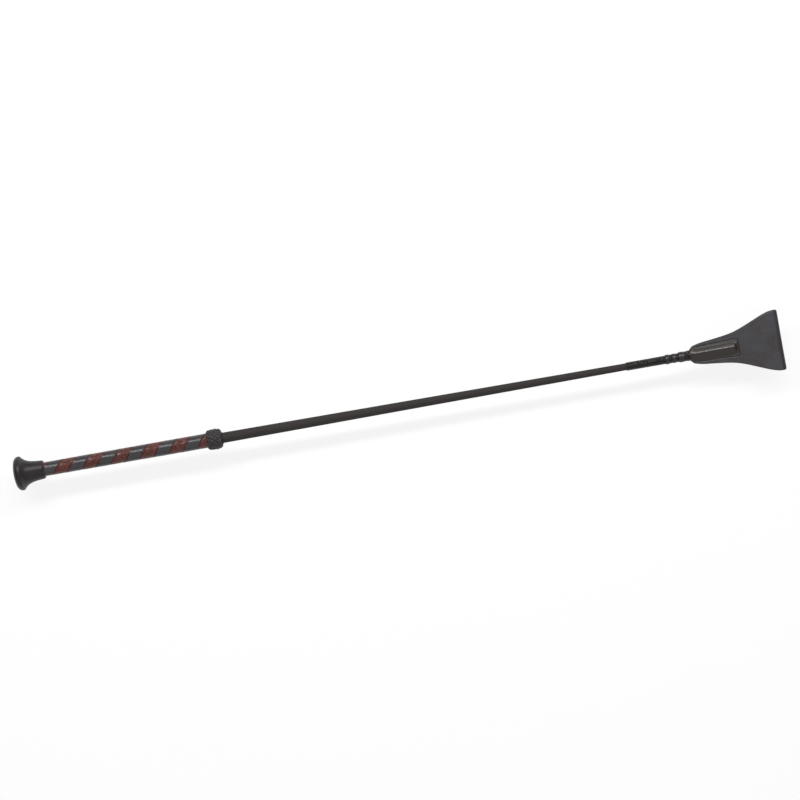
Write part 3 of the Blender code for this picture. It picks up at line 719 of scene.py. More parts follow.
def band_leather(looks):
    """Thin smooth leather pulled tight round the neck, polished on its crown."""
    material, graph = new_finish("band_leather")
    place = graph.object_place()
    pull = graph.noise(graph.stretched(place, (1.5, 0.45, 0.45)), 1.1, 4.0)
    mottle = graph.noise(place, 0.6, 4.0)
    colour = graph.blend(mottle, shade(looks.colour, 0.75), shade(looks.colour, 1.3))
    height = graph.pores(place, 0.3) * 0.004 + pull * 0.11
    graph.surface(
        colour, 0.36 + mottle * 0.12, height, {"Coat Weight": 0.16, "Coat Roughness": 0.2})
    return material


def seam_distance(graph, x, y):
    """Distance in millimetres from the seam beside and in front of the shaft's tip."""
    start, end = SEAM_START / MM, SEAM_END / MM
    rear, front = SEAM_HALF_WIDTH_REAR / MM, SEAM_HALF_WIDTH_FRONT / MM
    line = (x - start) * ((front - rear) / (end - start)) + rear
    beyond = graph.greater(x - end, 0.0) + graph.greater(start - x, 0.0)
    beside = graph.maths("SQRT", (abs(y) - line) * (abs(y) - line) + beyond * beyond)
    past = graph.greater(abs(y) - front, 0.0)
    ahead = graph.maths("SQRT", (x - end) * (x - end) + past * past)
    return graph.lesser(beside, ahead)


def flap_leather(looks, seam_looks):
    """Firm bridle leather: matt on the wings with patches of painted cool reflection, brown and
    polished over the tip.
    """
    material, graph = new_finish("flap_leather")
    place = graph.own_place("rest_place")
    x, y = graph.split(place)[:2]
    cut_edge = graph.node("ShaderNodeAttribute", {"attribute_name": "cut_edge"}, out="Fac")
    distance = seam_distance(graph, x, y)
    raised = POCKET_HALF_WIDTH / MM + 0.6 - abs(y)
    inside = graph.eased(raised, 0.0, 0.9) * graph.eased(SEAM_END / MM - x, 0.6, 2.6)
    neck = graph.eased(x, (FLAP_START + 0.007) / MM, (FLAP_START + 0.001) / MM)
    polished = graph.greater(inside, neck)
    cloud = graph.noise(place, 0.055, 3.0)
    mottle = graph.noise(place, 0.75, 6.0, 0.65)
    fine = graph.noise(place, 2.6, 3.0)
    pore = graph.pores(place, 0.38)
    # cloudy patches of painted bluish reflection over the flat leather
    wing = graph.blend(
        graph.eased(cloud, 0.3, 0.7), shade(looks.wing_colour, 0.84), looks.painted_sheen_colour)
    wing = graph.blend(
        graph.eased(cloud, 0.56, 0.38) * 0.6, wing, shade(looks.pocket_colour, 1.55))
    wing = graph.blend(graph.eased(mottle, 0.45, 0.68) * 0.4, wing, shade(looks.wing_colour, 1.6))
    wing = graph.blend(graph.eased(mottle, 0.47, 0.3) * 0.4, wing, shade(looks.pocket_colour, 1.3))
    wing = graph.blend(graph.eased(fine, 0.6, 0.7) * 0.35, wing, shade(looks.wing_colour, 2.0))
    colour = graph.blend(polished, wing, looks.pocket_colour)
    # pale flecks beside the seam: painted highlight
    painted_seam_flecks = graph.bell(distance, 0.8) * graph.eased(fine, 0.5, 0.62)
    colour = graph.blend(painted_seam_flecks * 0.4, colour, shade(looks.wing_colour, 2.6))
    # darker line along the seam: painted shade in the stitch groove
    groove_shade = graph.bell(distance, 0.42) * 0.85
    colour = graph.blend(groove_shade, colour, shade(looks.pocket_colour, 0.3))
    # darker band over the last few millimetres: painted shade where the fold rolls over
    fold_shade = graph.eased(x, FLAP_END / MM - 3.6, FLAP_END / MM - 2.6)
    colour = graph.blend(fold_shade * 0.5, colour, shade(looks.pocket_colour, 0.9))
    colour = graph.blend(cut_edge * 0.75, colour, shade(looks.pocket_colour, 0.55))
    shine = graph.eased(raised, 0.8, 2.0) * polished
    roughness = 0.42 + mottle * 0.08 - shine * 0.16 + cut_edge * 0.12
    pucker = graph.sine(x * (math.tau / (seam_looks.pitch / MM))) * graph.bell(distance - 0.7, 0.5)
    calm = 1.0 - polished * 0.85
    height = pore * 0.010 * calm + mottle * 0.03 * calm + fine * 0.008 * calm + cloud * 0.05
    height = height + pucker * 0.025 - graph.bell(distance, 0.35) * 0.06 + cut_edge * fine * 0.05
    height = height + graph.bell(x - (FLAP_END / MM - 4.0), 0.6) * 0.09
    graph.surface(colour, roughness, height)
    return material


def seam_thread(looks):
    """Dull waxed sewing thread."""
    material, graph = new_finish("seam_thread")
    place = graph.object_place()
    strand = graph.noise(graph.stretched(place, (1.0, 3.0, 1.0)), 3.0, 4.0)
    colour = graph.blend(strand, shade(looks.colour, 0.6), shade(looks.colour, 2.0))
    graph.surface(colour, 0.5 + strand * 0.2, strand * 0.05)
    return material


def rod_fibreglass():
    """Pale drawn fibreglass with its fibres along the rod."""
    material, graph = new_finish("rod_fibreglass")
    fibres = graph.noise(graph.stretched(graph.object_place(), (0.04, 2.0, 2.0)), 1.0, 4.0)
    colour = graph.blend(fibres, (0.42, 0.40, 0.32), (0.62, 0.60, 0.50))
    graph.surface(colour, 0.3 + fibres * 0.15, fibres * 0.02)
    return material


def core_rubber():
    """Dull black rubber tube with a dusting of talc."""
    material, graph = new_finish("core_rubber")
    talc = graph.noise(graph.object_place(), 0.8, 5.0)
    colour = graph.blend(
        graph.eased(talc, 0.55, 0.8) * 0.4, (0.022, 0.022, 0.023), (0.12, 0.12, 0.12))
    graph.surface(colour, 0.7 + talc * 0.15, talc * 0.03)
    return material


def underlay_cord():
    """Dark cord wound close under the knot."""
    material, graph = new_finish("underlay_cord")
    place = graph.object_place()
    x = graph.split(place)[0]
    turn = abs(graph.sine(x * (math.pi / UNDERLAY_CORD)))
    fuzz = graph.noise(place, 1.6, 4.0)
    # darker between the cord's turns: painted shade
    colour = graph.blend(turn, (0.008, 0.007, 0.008), (0.022, 0.019, 0.021))
    graph.surface(colour, 0.7 + fuzz * 0.15, turn * 0.12 + fuzz * 0.03)
    return material


def studio_floor(looks):
    """Plain seamless paper with a barely visible tooth, lit through more strongly far away."""
    material, graph = new_finish("studio_floor")
    place = graph.object_place()
    tooth = graph.noise(place, 0.02, 3.0)
    colour = graph.blend(tooth, shade(looks.floor_colour, 0.985), looks.floor_colour)
    x, y = graph.split(place)[:2]
    x_away = x - FLAP_END / MM / 2
    away = graph.maths("SQRT", x_away * x_away + y * y)
    glow = graph.eased(
        away, GLOW_RISE_START, GLOW_RISE_END, looks.floor_glow, looks.floor_glow + GLOW_RISE)
    graph.surface(colour, 0.85 + tooth * 0.05, tooth * 0.02, {
        "Specular IOR Level": 0.2, "Emission Color": graph.joined(glow, glow, glow),
        "Emission Strength": 1.0})
    return material


# Geometry trees

THREAD_TUCK = 0.14  # share of a turn in which an end goes under
THREAD_SIDES = 9
LACE_SIDES = 16
LACE_PATTERN_RADIUS = 12.0  # gives the pattern's places along the lace, in millimetres
BARREL_POWER = 2.3
STITCH_WOBBLE = 0.16
STITCH_SIZES = (0.86, 1.12)
STITCH_STEPS, STITCH_SIDES = 8, 8


def new_growth(name, inputs):
    """A geometry node tree with named inputs: its graph and the group's inputs by name."""
    tree = bpy.data.node_groups.new(name, "GeometryNodeTree")
    graph = Graph(tree)
    tree.interface.new_socket("Geometry", in_out="INPUT", socket_type="NodeSocketGeometry")
    for label, kind in inputs.items():
        tree.interface.new_socket(label, in_out="INPUT", socket_type=kind)
    tree.interface.new_socket("Geometry", in_out="OUTPUT", socket_type="NodeSocketGeometry")
    start = graph.node("NodeGroupInput")
    return graph, {label: start.part(label) for label in ["Geometry", *inputs]}


def finish_growth(graph, geometry, material):
    """Ends a tree: real meshes, smooth and with their material."""
    real = graph.node("GeometryNodeRealizeInstances", sockets={"Geometry": geometry})
    smooth = graph.node("GeometryNodeSetShadeSmooth", sockets={"Geometry": real})
    dressed = graph.node("GeometryNodeSetMaterial", sockets={
        "Geometry": smooth, "Material": material})
    graph.node("NodeGroupOutput", sockets={"Geometry": dressed})
    return graph.tree


def grow(name, tree, base, values):
    """The plain mesh that a tree grows on base data with its inputs set to values."""
    carrier = bpy.data.objects.new(name + "_carrier", base)
    bpy.context.scene.collection.objects.link(carrier)
    growth = carrier.modifiers.new("Growth", "NODES")
    growth.node_group = tree
    for item in tree.interface.items_tree:
        if item.in_out == "INPUT" and item.name in values:
            growth[item.identifier] = values[item.name]
    bpy.context.view_layer.update()
    depsgraph = bpy.context.evaluated_depsgraph_get()
    mesh = bpy.data.meshes.new_from_object(carrier.evaluated_get(depsgraph), depsgraph=depsgraph)
    mesh.name = name
    bpy.data.objects.remove(carrier)
    return mesh


def store(graph, geometry, name, value, kind="FLOAT", domain="POINT"):
    return graph.node(
        "GeometryNodeStoreNamedAttribute", {"data_type": kind, "domain": domain},
        {"Geometry": geometry, "Name": name, "Value": value})


def named(graph, name, kind="FLOAT"):
    return graph.node("GeometryNodeInputNamedAttribute", {"data_type": kind}, {"Name": name})


def path_points(graph, count):
    """A curve of that many points, to be laid on its path."""
    line = graph.node("GeometryNodeCurvePrimitiveLine")
    return graph.node("GeometryNodeResampleCurve", sockets={"Curve": line, "Count": count})


def wound_thread_tree():
    """Turns of thread laid side by side round the crop, with their ends tucked under."""
    graph, given = new_growth("wound_thread", {
        "Start": "NodeSocketFloat", "Pitch": "NodeSocketFloat", "Turns": "NodeSocketFloat",
        "Steps in a turn": "NodeSocketInt", "Bore at start": "NodeSocketFloat",
        "Bore at end": "NodeSocketFloat", "Climb start": "NodeSocketFloat",
        "Climb end": "NodeSocketFloat", "Thread diameter": "NodeSocketFloat",
        "Unevenness": "NodeSocketFloat", "Material": "NodeSocketMaterial",
    })
    half = given["Thread diameter"] * 0.5
    count = given["Turns"] * given["Steps in a turn"] + 1.0
    curve = path_points(graph, count)
    turn = graph.node("GeometryNodeSplineParameter") * given["Turns"]
    shiver = graph.node("ShaderNodeTexNoise", {"noise_dimensions": "1D"}, {
        "W": turn * 3.1 + given["Start"] * (1 / MM), "Scale": 1.0, "Detail": 2.0})
    sway = graph.node("ShaderNodeTexNoise", {"noise_dimensions": "1D"}, {
        "W": turn * 2.3 + 50.0, "Scale": 1.0, "Detail": 2.0})
    step = graph.lesser(graph.greater(turn - 1.0, 0.0), given["Turns"] - 2.0)
    middle = given["Start"] + half + step * given["Pitch"] + (sway - 0.5) * given["Unevenness"]
    bore = graph.eased(
        middle, given["Climb start"], given["Climb end"],
        given["Bore at start"], given["Bore at end"])
    shown = graph.eased(turn, 0.0, THREAD_TUCK)
    shown = shown * graph.eased(given["Turns"] - turn, 0.0, THREAD_TUCK)
    radius = bore + half * (shown * 2.0 - 1.0) + (shiver - 0.5) * given["Unevenness"]
    angle = turn * math.tau
    place = graph.joined(middle, radius * graph.sine(angle), radius * graph.cosine(angle))
    laid = graph.node("GeometryNodeSetPosition", sockets={"Geometry": curve, "Position": place})
    laid = store(graph, laid, "middle", middle)
    laid = store(graph, laid, "along", turn * math.tau * radius * (1 / MM))
    section = graph.node("GeometryNodeCurvePrimitiveCircle", sockets={
        "Resolution": THREAD_SIDES, "Radius": half})
    tube = graph.node("GeometryNodeCurveToMesh", sockets={
        "Curve": laid, "Profile Curve": section, "Fill Caps": True})
    tube_x = graph.split(graph.node("GeometryNodeInputPosition"))[0]
    across = (tube_x - named(graph, "middle")) / half
    tube = store(
        graph, tube, "UVMap", graph.joined(named(graph, "along"), across, 0.0), "FLOAT2", "CORNER")
    return finish_growth(graph, tube, given["Material"])


def woven_knot_tree():
    """One flat lace that runs round and round, over and under itself, and closes on itself."""
    graph, given = new_growth("woven_knot", {
        "Middle": "NodeSocketFloat", "Half length": "NodeSocketFloat",
        "Leads": "NodeSocketInt", "Bights": "NodeSocketInt", "Points": "NodeSocketInt",
        "Radius": "NodeSocketFloat", "End radius": "NodeSocketFloat",
        "Lace width": "NodeSocketFloat", "Lace thickness": "NodeSocketFloat",
        "Rise": "NodeSocketFloat", "Material": "NodeSocketMaterial",
    })
    curve = path_points(graph, given["Points"])
    share = graph.node("GeometryNodeInputIndex") / given["Points"]
    angle = share * given["Leads"] * math.tau
    bight = share * given["Bights"]
    across = graph.cosine(bight * math.tau)
    half_way = graph.fraction(bight)
    crossing = (0.5 - abs(half_way - 0.5)) * 2.0 * given["Leads"]
    falling = 1.0 - graph.maths("GREATER_THAN", half_way, 0.5) * 2.0
    at_edge = graph.eased(crossing, 0.1, 0.9) * graph.eased(given["Leads"] - crossing, 0.1, 0.9)
    over = graph.cosine(crossing * math.pi) * falling * at_edge
    belly = graph.maths("SQRT", 1.0 - graph.maths("POWER", abs(across), BARREL_POWER))
    barrel = given["End radius"] + (given["Radius"] - given["End radius"]) * belly
    radius = barrel + over * given["Rise"]
    outward = graph.joined(0.0, graph.sine(angle), graph.cosine(angle))
    place = graph.joined(
        given["Middle"] + across * given["Half length"],
        radius * graph.sine(angle), radius * graph.cosine(angle))
    laid = graph.node("GeometryNodeSetPosition", sockets={"Geometry": curve, "Position": place})
    laid = graph.node("GeometryNodeSetSplineCyclic", sockets={"Geometry": laid, "Cyclic": True})
    laid = graph.node("GeometryNodeSetCurveNormal", {"mode": "FREE"}, {
        "Curve": laid, "Normal": outward})
    laid = store(
        graph, laid, "along", share * given["Leads"] * (math.tau * LACE_PATTERN_RADIUS))
    circle = graph.node("GeometryNodeCurvePrimitiveCircle", sockets={
        "Resolution": LACE_SIDES, "Radius": 1.0})
    round_x, round_y = graph.split(graph.node("GeometryNodeInputPosition"))[:2]
    section = store(graph, circle, "across", round_y)
    section = graph.node("GeometryNodeSetPosition", sockets={
        "Geometry": section,
        "Position": graph.joined(
            round_x * given["Lace thickness"] * 0.5, round_y * given["Lace width"] * 0.5, 0.0)})
    lace = graph.node("GeometryNodeCurveToMesh", sockets={"Curve": laid, "Profile Curve": section})
    lace = store(
        graph, lace, "UVMap", graph.joined(named(graph, "along"), named(graph, "across"), 0.0),
        "FLOAT2", "CORNER")
    return finish_growth(graph, lace, given["Material"])


def stitches_tree():
    """Stitches set along the seam's curves: each a short bent thread whose ends go down."""
    graph, given = new_growth("stitches", {
        "Pitch": "NodeSocketFloat", "Length": "NodeSocketFloat", "Width": "NodeSocketFloat",
        "Sink": "NodeSocketFloat", "Slant": "NodeSocketFloat", "Seed": "NodeSocketInt",
        "Material": "NodeSocketMaterial",
    })
    places = graph.node("GeometryNodeCurveToPoints", {"mode": "LENGTH"}, {
        "Curve": given["Geometry"], "Length": given["Pitch"]})
    facing = graph.node("FunctionNodeAlignRotationToVector", {"axis": "X", "pivot_axis": "Z"}, {
        "Vector": places.part("Tangent")})
    wobble = graph.node("FunctionNodeRandomValue", {"data_type": "FLOAT"}, {
        2: -STITCH_WOBBLE, 3: STITCH_WOBBLE, "Seed": given["Seed"]}, out=1)
    turned_by = graph.node("FunctionNodeEulerToRotation", sockets={
        0: graph.joined(0.0, 0.0, given["Slant"] + wobble)})
    facing = graph.node("FunctionNodeRotateRotation", {"rotation_space": "LOCAL"}, {
        "Rotation": facing, "Rotate By": turned_by})
    size = graph.node("FunctionNodeRandomValue", {"data_type": "FLOAT"}, {
        2: STITCH_SIZES[0], 3: STITCH_SIZES[1], "Seed": given["Seed"] + 7.0}, out=1)
    half = given["Length"] * 0.5
    spine = graph.node("GeometryNodeCurveQuadraticBezier", sockets={
        "Resolution": STITCH_STEPS, "Start": graph.joined(0.0 - half, 0.0, 0.0 - given["Sink"]),
        "Middle": graph.joined(0.0, 0.0, given["Width"] * 0.9),
        "End": graph.joined(half, 0.0, 0.0 - given["Sink"])})
    section = graph.node("GeometryNodeCurvePrimitiveCircle", sockets={
        "Resolution": STITCH_SIDES, "Radius": given["Width"] * 0.5})
    stitch = graph.node("GeometryNodeCurveToMesh", sockets={
        "Curve": spine, "Profile Curve": section, "Fill Caps": True})
    row = graph.node("GeometryNodeInstanceOnPoints", sockets={
        "Points": places, "Instance": stitch, "Rotation": facing, "Scale": size})
    return finish_growth(graph, row, given["Material"])


def routes(name, lines):
    """Base curves for a tree: one open spline through each list of points."""
    curve = bpy.data.curves.new(name, "CURVE")
    curve.dimensions = "3D"
    for points in lines:
        spline = curve.splines.new("POLY")
        spline.points.add(len(points) - 1)
        for spline_point, point in zip(spline.points, points):
            spline_point.co = (*point, 1.0)
    return curve


# Cap

CAP_FLAT_RADIUS = 0.0034
CAP_DOME_POWER = 2.2
CAP_DOME_STEPS = 12
CAP_RIM_AT = 0.0054
CAP_RIM_DEPTH = 0.0044
CAP_RIM_HEIGHT = 0.0045
CAP_RIM_ANGLES = (94, 158)
CAP_BACK_ROUND = 0.0017
CAP_BACK_ANGLE = 40.0
CAP_FRONT_RADIUS = 0.0077
CAP_NECK_SLOPE = 0.045
CAP_FLARE = 0.0042
CAP_FLARE_STEPS = 48
CAP_FRONT_ROUND = 0.001
CAP_FLOOR = 0.0077
CAP_ROUND_STEPS = 128


def cap_profile():
    """Outer side from the lip to the end's middle, after the bore: (along, radius) pairs."""
    front = CAP_END - CAP_FRONT_ROUND
    angle = math.radians(CAP_BACK_ANGLE)
    back_centre = (CAP_RIM_AT, CAP_RIM_RADIUS - CAP_BACK_ROUND)
    flare_start = back_centre[0] + CAP_BACK_ROUND * math.cos(angle)
    flare_radius = back_centre[1] + CAP_BACK_ROUND * math.sin(angle)

    def taper(x):
        return CAP_FRONT_RADIUS + CAP_NECK_SLOPE * (front - x)

    bore = wrap_radius(CAP_END) + FIT_GAP
    lip = CAP_FRONT_ROUND
    profile = [
        (CAP_FLOOR, 0.0), (CAP_FLOOR, bore), (CAP_END - lip / 2, bore), (CAP_END, bore + lip / 3)]
    profile += arc((front, CAP_FRONT_RADIUS - lip), (lip, lip), 8, 90, 8)
    for step in range(1, CAP_FLARE_STEPS):
        x = mix(front, flare_start, (step / CAP_FLARE_STEPS) ** 0.8)
        flare = (flare_radius - taper(flare_start)) * math.exp(-(x - flare_start) / CAP_FLARE)
        profile.append((x, taper(x) + flare))
    profile += arc(back_centre, (CAP_BACK_ROUND, CAP_BACK_ROUND), CAP_BACK_ANGLE, 90, 10)
    rim_centre = (CAP_RIM_AT, CAP_RIM_RADIUS - CAP_RIM_HEIGHT)
    profile += arc(rim_centre, (CAP_RIM_DEPTH, CAP_RIM_HEIGHT), *CAP_RIM_ANGLES, 20)
    dome_start, dome_radius = profile[-1]
    for step in range(1, CAP_DOME_STEPS):
        share = step / CAP_DOME_STEPS
        x = mix(dome_start, 0.0, 1 - (1 - share) ** CAP_DOME_POWER)
        profile.append((x, mix(dome_radius, CAP_FLAT_RADIUS, share)))
    return profile + [(0.0, CAP_FLAT_RADIUS), (0.0, CAP_FLAT_RADIUS / 2), (0.0, 0.0)]


class CROP_OT_end_cap(bpy.types.Operator):
    """Turn the flared rubber cap"""
    bl_idname = "crop.end_cap"
    bl_label = "End cap"

    def execute(self, context):
        mesh = turned("cap", cap_profile(), CAP_ROUND_STEPS)
        add_piece("cap", mesh, cap_rubber(context.scene.crop_cap), ["end_cap"])
        return {"FINISHED"}


# Grip

STRIP_STEPS_IN_TURN = 110
STRIP_EDGE_DISTANCES = (
    0.0, 0.03, 0.08, 0.15, 0.24, 0.35, 0.48, 0.65, 0.85, 1.1, 1.45, 1.9, 2.5, 3.3, 4.2)


def strip_height(distance, plain):
    """Share of the leather's thickness at a distance in millimetres from a strip's edge."""
    edge_round = 0.55 if plain else 0.4
    inward = min(distance / edge_round, 1.0)
    rounded = math.sqrt(1 - (1 - inward) ** 2)
    if plain:
        bead = 0.07 * math.exp(-((distance - 0.75) / 0.4) ** 2)
        return 0.42 + 0.55 * rounded + bead
    return 0.30 + 0.52 * rounded + 0.12 * ease(distance / 2.2)


def strip_mesh(name, middle_at_top, width, looks, plain):
    """A leather strip wound from the cap to the knot over the top towards +Y."""
    lead = looks.lead
    radius = wrap_radius((CAP_END + KNOT_START) / 2)
    round_way = math.tau * radius
    slope = math.hypot(round_way, lead)
    half = width / 2
    edges = [distance * MM for distance in STRIP_EDGE_DISTANCES if distance * MM < half]
    offsets = [distance - half for distance in edges] + [0.0]
    offsets += [half - distance for distance in reversed(edges)]
    first_turn = (GRIP_INSIDE_START - half - middle_at_top) / lead
    last_turn = (GRIP_INSIDE_END + half - middle_at_top) / lead
    steps = round((last_turn - first_turn) * STRIP_STEPS_IN_TURN)
    rows, pairs = [], []
    for step in range(steps + 1):
        turn = mix(first_turn, last_turn, step / steps)
        angle = turn * math.tau
        middle = middle_at_top + turn * lead
        wander = 0.00009 * math.sin(turn * 5.3) + 0.00006 * math.sin(turn * 13.7 + 1.0)
        row, row_pairs = [], []
        for offset in offsets:
            x = min(max(middle + offset + wander, GRIP_INSIDE_START), GRIP_INSIDE_END)
            distance = (half - abs(offset)) / MM
            swell = 1 + 0.03 * math.sin(turn * 9.1 + offset * 400)
            swell += 0.02 * math.sin(turn * 23.0 + 2.0)
            reach = wrap_bore(x) + WRAP_THICKNESS * strip_height(distance, plain) * swell
            row.append((x, reach * math.sin(angle), reach * math.cos(angle)))
            row_pairs.append((
                (offset * lead / slope + turn * slope) / MM, offset * round_way / slope / MM))
        for offset in (half, 0.0, -half):
            x = min(max(middle + offset + wander, GRIP_INSIDE_START), GRIP_INSIDE_END)
            row.append((x, wrap_bore(x) * math.sin(angle), wrap_bore(x) * math.cos(angle)))
            row_pairs.append((turn * slope / MM, half * round_way / slope / MM))
        row_pairs.append(row_pairs[0])
        rows.append(row)
        pairs.append(row_pairs)
    return skin(name, rows, pairs)


class CROP_OT_grip(bpy.types.Operator):
    """Wind the brown and the black leather strip side by side round the grip"""
    bl_idname = "crop.grip"
    bl_label = "Grip strips"

    def execute(self, context):
        looks = context.scene.crop_grip
        black_width = looks.lead - looks.brown_width - 2 * looks.seam
        brown = strip_mesh(
            "brown_strip", looks.brown_at_top, looks.brown_width, looks, plain=False)
        black = strip_mesh(
            "black_strip", looks.brown_at_top + looks.lead / 2, black_width, looks, plain=True)
        add_piece(
            "brown_strip", brown, grip_leather("grip_leather_brown", looks.brown, looks, True),
            ["brown_grip_strip"])
        add_piece(
            "black_strip", black, grip_leather("grip_leather_black", looks.black, looks, False),
            ["black_grip_strip"])
        return {"FINISHED"}


# Knot

KNOT_OUTER_RADIUS = 0.0088
KNOT_END_RADIUS = 0.0071
KNOT_POINTS = 1500
LACE_RISE = 0.46  # of its thickness, at each crossing


class CROP_OT_knot(bpy.types.Operator):
    """Weave the leather lace of the knot between grip and shaft"""
    bl_idname = "crop.knot"
    bl_label = "Woven knot"

    def execute(self, context):
        looks = context.scene.crop_knot
        rise = looks.lace_thickness * LACE_RISE
        mesh = grow("woven_lace", woven_knot_tree(), bpy.data.meshes.new("woven_lace_base"), {
            "Middle": (KNOT_START + KNOT_END) / 2,
            "Half length": (KNOT_END - KNOT_START - looks.lace_width) / 2,
            "Leads": looks.leads, "Bights": looks.bights, "Points": KNOT_POINTS,
            "Radius": KNOT_OUTER_RADIUS - looks.lace_thickness / 2 - rise,
            "End radius": KNOT_END_RADIUS - looks.lace_thickness / 2,
            "Lace width": looks.lace_width, "Lace thickness": looks.lace_thickness,
            "Rise": rise, "Material": knot_lace(looks),
        })
        add_piece("woven_lace", mesh, None, ["braided_knot"])
        return {"FINISHED"}


# Shaft

COVER_STEPS = 150
ROUND_STEPS = 96


class CROP_OT_shaft(bpy.types.Operator):
    """Draw the braided cover over the tapering shaft"""
    bl_idname = "crop.shaft"
    bl_label = "Shaft cover"

    def execute(self, context):
        looks = context.scene.crop_shaft
        whipped = WHIPPING_START + context.scene.crop_thread.diameter / 2
        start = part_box("shaft_cover")[0].x
        profile = [(start, cover_radius(start) - COVER_WALL)]
        for step in range(COVER_STEPS + 1):
            x = mix(start, WHIPPING_START - FIT_GAP, step / COVER_STEPS)
            profile.append((x, cover_radius(x)))
        profile += [(x, cover_radius(x)) for x in (whipped, COVER_END)]
        profile.append((COVER_END, cover_radius(COVER_END) - COVER_WALL))
        mesh = turned("braided_cover", profile, ROUND_STEPS, along_closed=True)
        add_piece("braided_cover", mesh, shaft_braid(looks), ["shaft_cover"])
        return {"FINISHED"}


# Windings

WHIPPING_CLIMB = 0.0239
WOUND_THICKNESS = 0.00062
RING_LIFTS = (0.00015, 0.0002)
BINDING_LIFTS = (0.0006, 0.00025)
THREAD_SPACING = 1.03
THREAD_UNEVENNESS = 0.15


class CROP_OT_windings(bpy.types.Operator):
    """Wind the waxed thread of the long whipping, the two rings and the neck binding"""
    bl_idname = "crop.windings"
    bl_label = "Thread windings"

    def execute(self, context):
        looks = context.scene.crop_thread
        thread = looks.diameter
        tree = wound_thread_tree()
        material = winding_thread(looks)
        lift = WOUND_THICKNESS - thread
        on_cover = cover_radius(WHIPPING_START) + lift
        on_neck = NECK_RADIUS + lift
        climb = WHIPPING_START + WHIPPING_CLIMB
        full_neck = neck_radius(FLAP_START) + lift
        windings = (
            ("whipping_turns", "shaft_whipping", WHIPPING_START, BANDS[0][0] + FIT_GAP,
             on_cover, on_neck, climb, climb + 2 * thread),
            ("ring_turns_1", "thread_ring_1", BANDS[0][1] - FIT_GAP, BANDS[1][0] + FIT_GAP,
             on_neck + RING_LIFTS[0], on_neck + RING_LIFTS[0], 0.0, 1.0),
            ("ring_turns_2", "thread_ring_2", BANDS[1][1] - FIT_GAP, BANDS[2][0] + FIT_GAP,
             on_neck + RING_LIFTS[1], on_neck + RING_LIFTS[1], 0.0, 1.0),
            ("binding_turns", "neck_binding", BANDS[2][1] - FIT_GAP, FLAP_START + FIT_GAP,
             on_neck + BINDING_LIFTS[0], full_neck + BINDING_LIFTS[1],
             BINDING_START, FLAP_START),
        )
        for name, node, start, end, first_bore, last_bore, climb_start, climb_end in windings:
            turns = (end - start - thread) / (thread * THREAD_SPACING) + 2
            mesh = grow(name, tree, bpy.data.meshes.new(name + "_base"), {
                "Start": start, "Pitch": (end - start - thread) / (turns - 2), "Turns": turns,
                "Steps in a turn": looks.steps, "Bore at start": first_bore,
                "Bore at end": last_bore, "Climb start": climb_start, "Climb end": climb_end,
                "Thread diameter": thread, "Unevenness": thread * THREAD_UNEVENNESS,
                "Material": material,
            })
            add_piece(name, mesh, None, [node])
        return {"FINISHED"}


# Bands

BAND_STEPS = 28
BAND_EDGE_POWER = 14
BAND_CROWN_POWER = 3.5


class CROP_OT_bands(bpy.types.Operator):
    """Stretch the three smooth leather bands round the neck"""
    bl_idname = "crop.bands"
    bl_label = "Leather bands"

    def execute(self, context):
        looks = context.scene.crop_bands
        material = band_leather(looks)
        for index, (start, end, radius) in enumerate(BANDS):
            bore = NECK_RADIUS + FIT_GAP / 2
            start -= looks.overlap
            end += looks.overlap
            profile = [(end, bore)]
            for step in range(BAND_STEPS + 1):
                across = 1 - 2 * step / BAND_STEPS
                x = mix(start, end, (across + 1) / 2)
                edge = max(1 - abs(across) ** BAND_EDGE_POWER, 0.0) ** 0.5
                crown = looks.crown * (1 - abs(across) ** BAND_CROWN_POWER)
                profile.append((x, mix(bore, radius - looks.crown, edge) + crown))
            profile.append((start, bore))

            def pulled(x, angle):
                tilt = 0.00005 * math.sin(angle * 2 + index * 1.7)
                return tilt + 0.00003 * math.sin(angle * 5 + x * 2600 + index)

            name = f"band_{index + 1}"
            mesh = turned(name, profile, ROUND_STEPS, along_closed=True, waviness=pulled)
            add_piece(name, mesh, material, [f"smooth_{name}"])
        return {"FINISHED"}


# Flap

FLAP_HALF_WIDTHS = (  # share of the flap's length, half width there
    (0.00, 0.0043), (0.04, 0.0070), (0.114, 0.0088), (0.26, 0.0102), (0.406, 0.0117),
    (0.504, 0.0133), (0.602, 0.0159), (0.748, 0.0206), (0.845, 0.0236), (0.93, 0.0254),
    (1.0, 0.0255),
)
FLAP_CORNER_RADIUS = 0.0015
NECK_SPREAD_LENGTH = 0.0005
NECK_OPENING_LENGTH = 0.0062
NECK_FLATTENING_LENGTH = 0.0038
POCKET_HALF_WIDTH = 0.0055
RIDGE_SHIFT = 0.0004
POCKET_END_LENGTH = 0.0045
POCKET_LOFT = 0.00025
RIDGE_ROUND = 0.22
FOOT_ROUND = 0.02
SEAM_START = FLAP_START + 0.0068
SEAM_END = ROD_END + 0.0048
SEAM_HALF_WIDTH_REAR = 0.0062
SEAM_HALF_WIDTH_FRONT = 0.0073
SEAM_ZONE = 0.0009
FOLD_HALF_HEIGHT = 0.0027
FOLD_LENGTH = 0.0042
FOLD_OPENS_AT = 0.010
FOLD_START = FLAP_END - FOLD_LENGTH
SIDE_STEPS = (  # half width reached, steps to it
    (0.0026, 8), (0.0049, 4), (0.0060, 8), (SEAM_HALF_WIDTH_FRONT + SEAM_ZONE, 12),
)
LAST_SIDE_STEPS = 12
SEAM_ZONE_SHARE = 0.86  # most of the half width that the finely divided zone may take
NECK_SECTIONS = 16
SPREAD_END = FLAP_START + 0.0012
SPREAD_SECTIONS = 4
FINE_END = SEAM_END + 0.0012
FINE_STEP = 0.00036
LOOSE_STEP = 0.0009
EDGE_ROUND = 0.0004
EDGE_STEPS = 6
FOLD_STEPS = 26


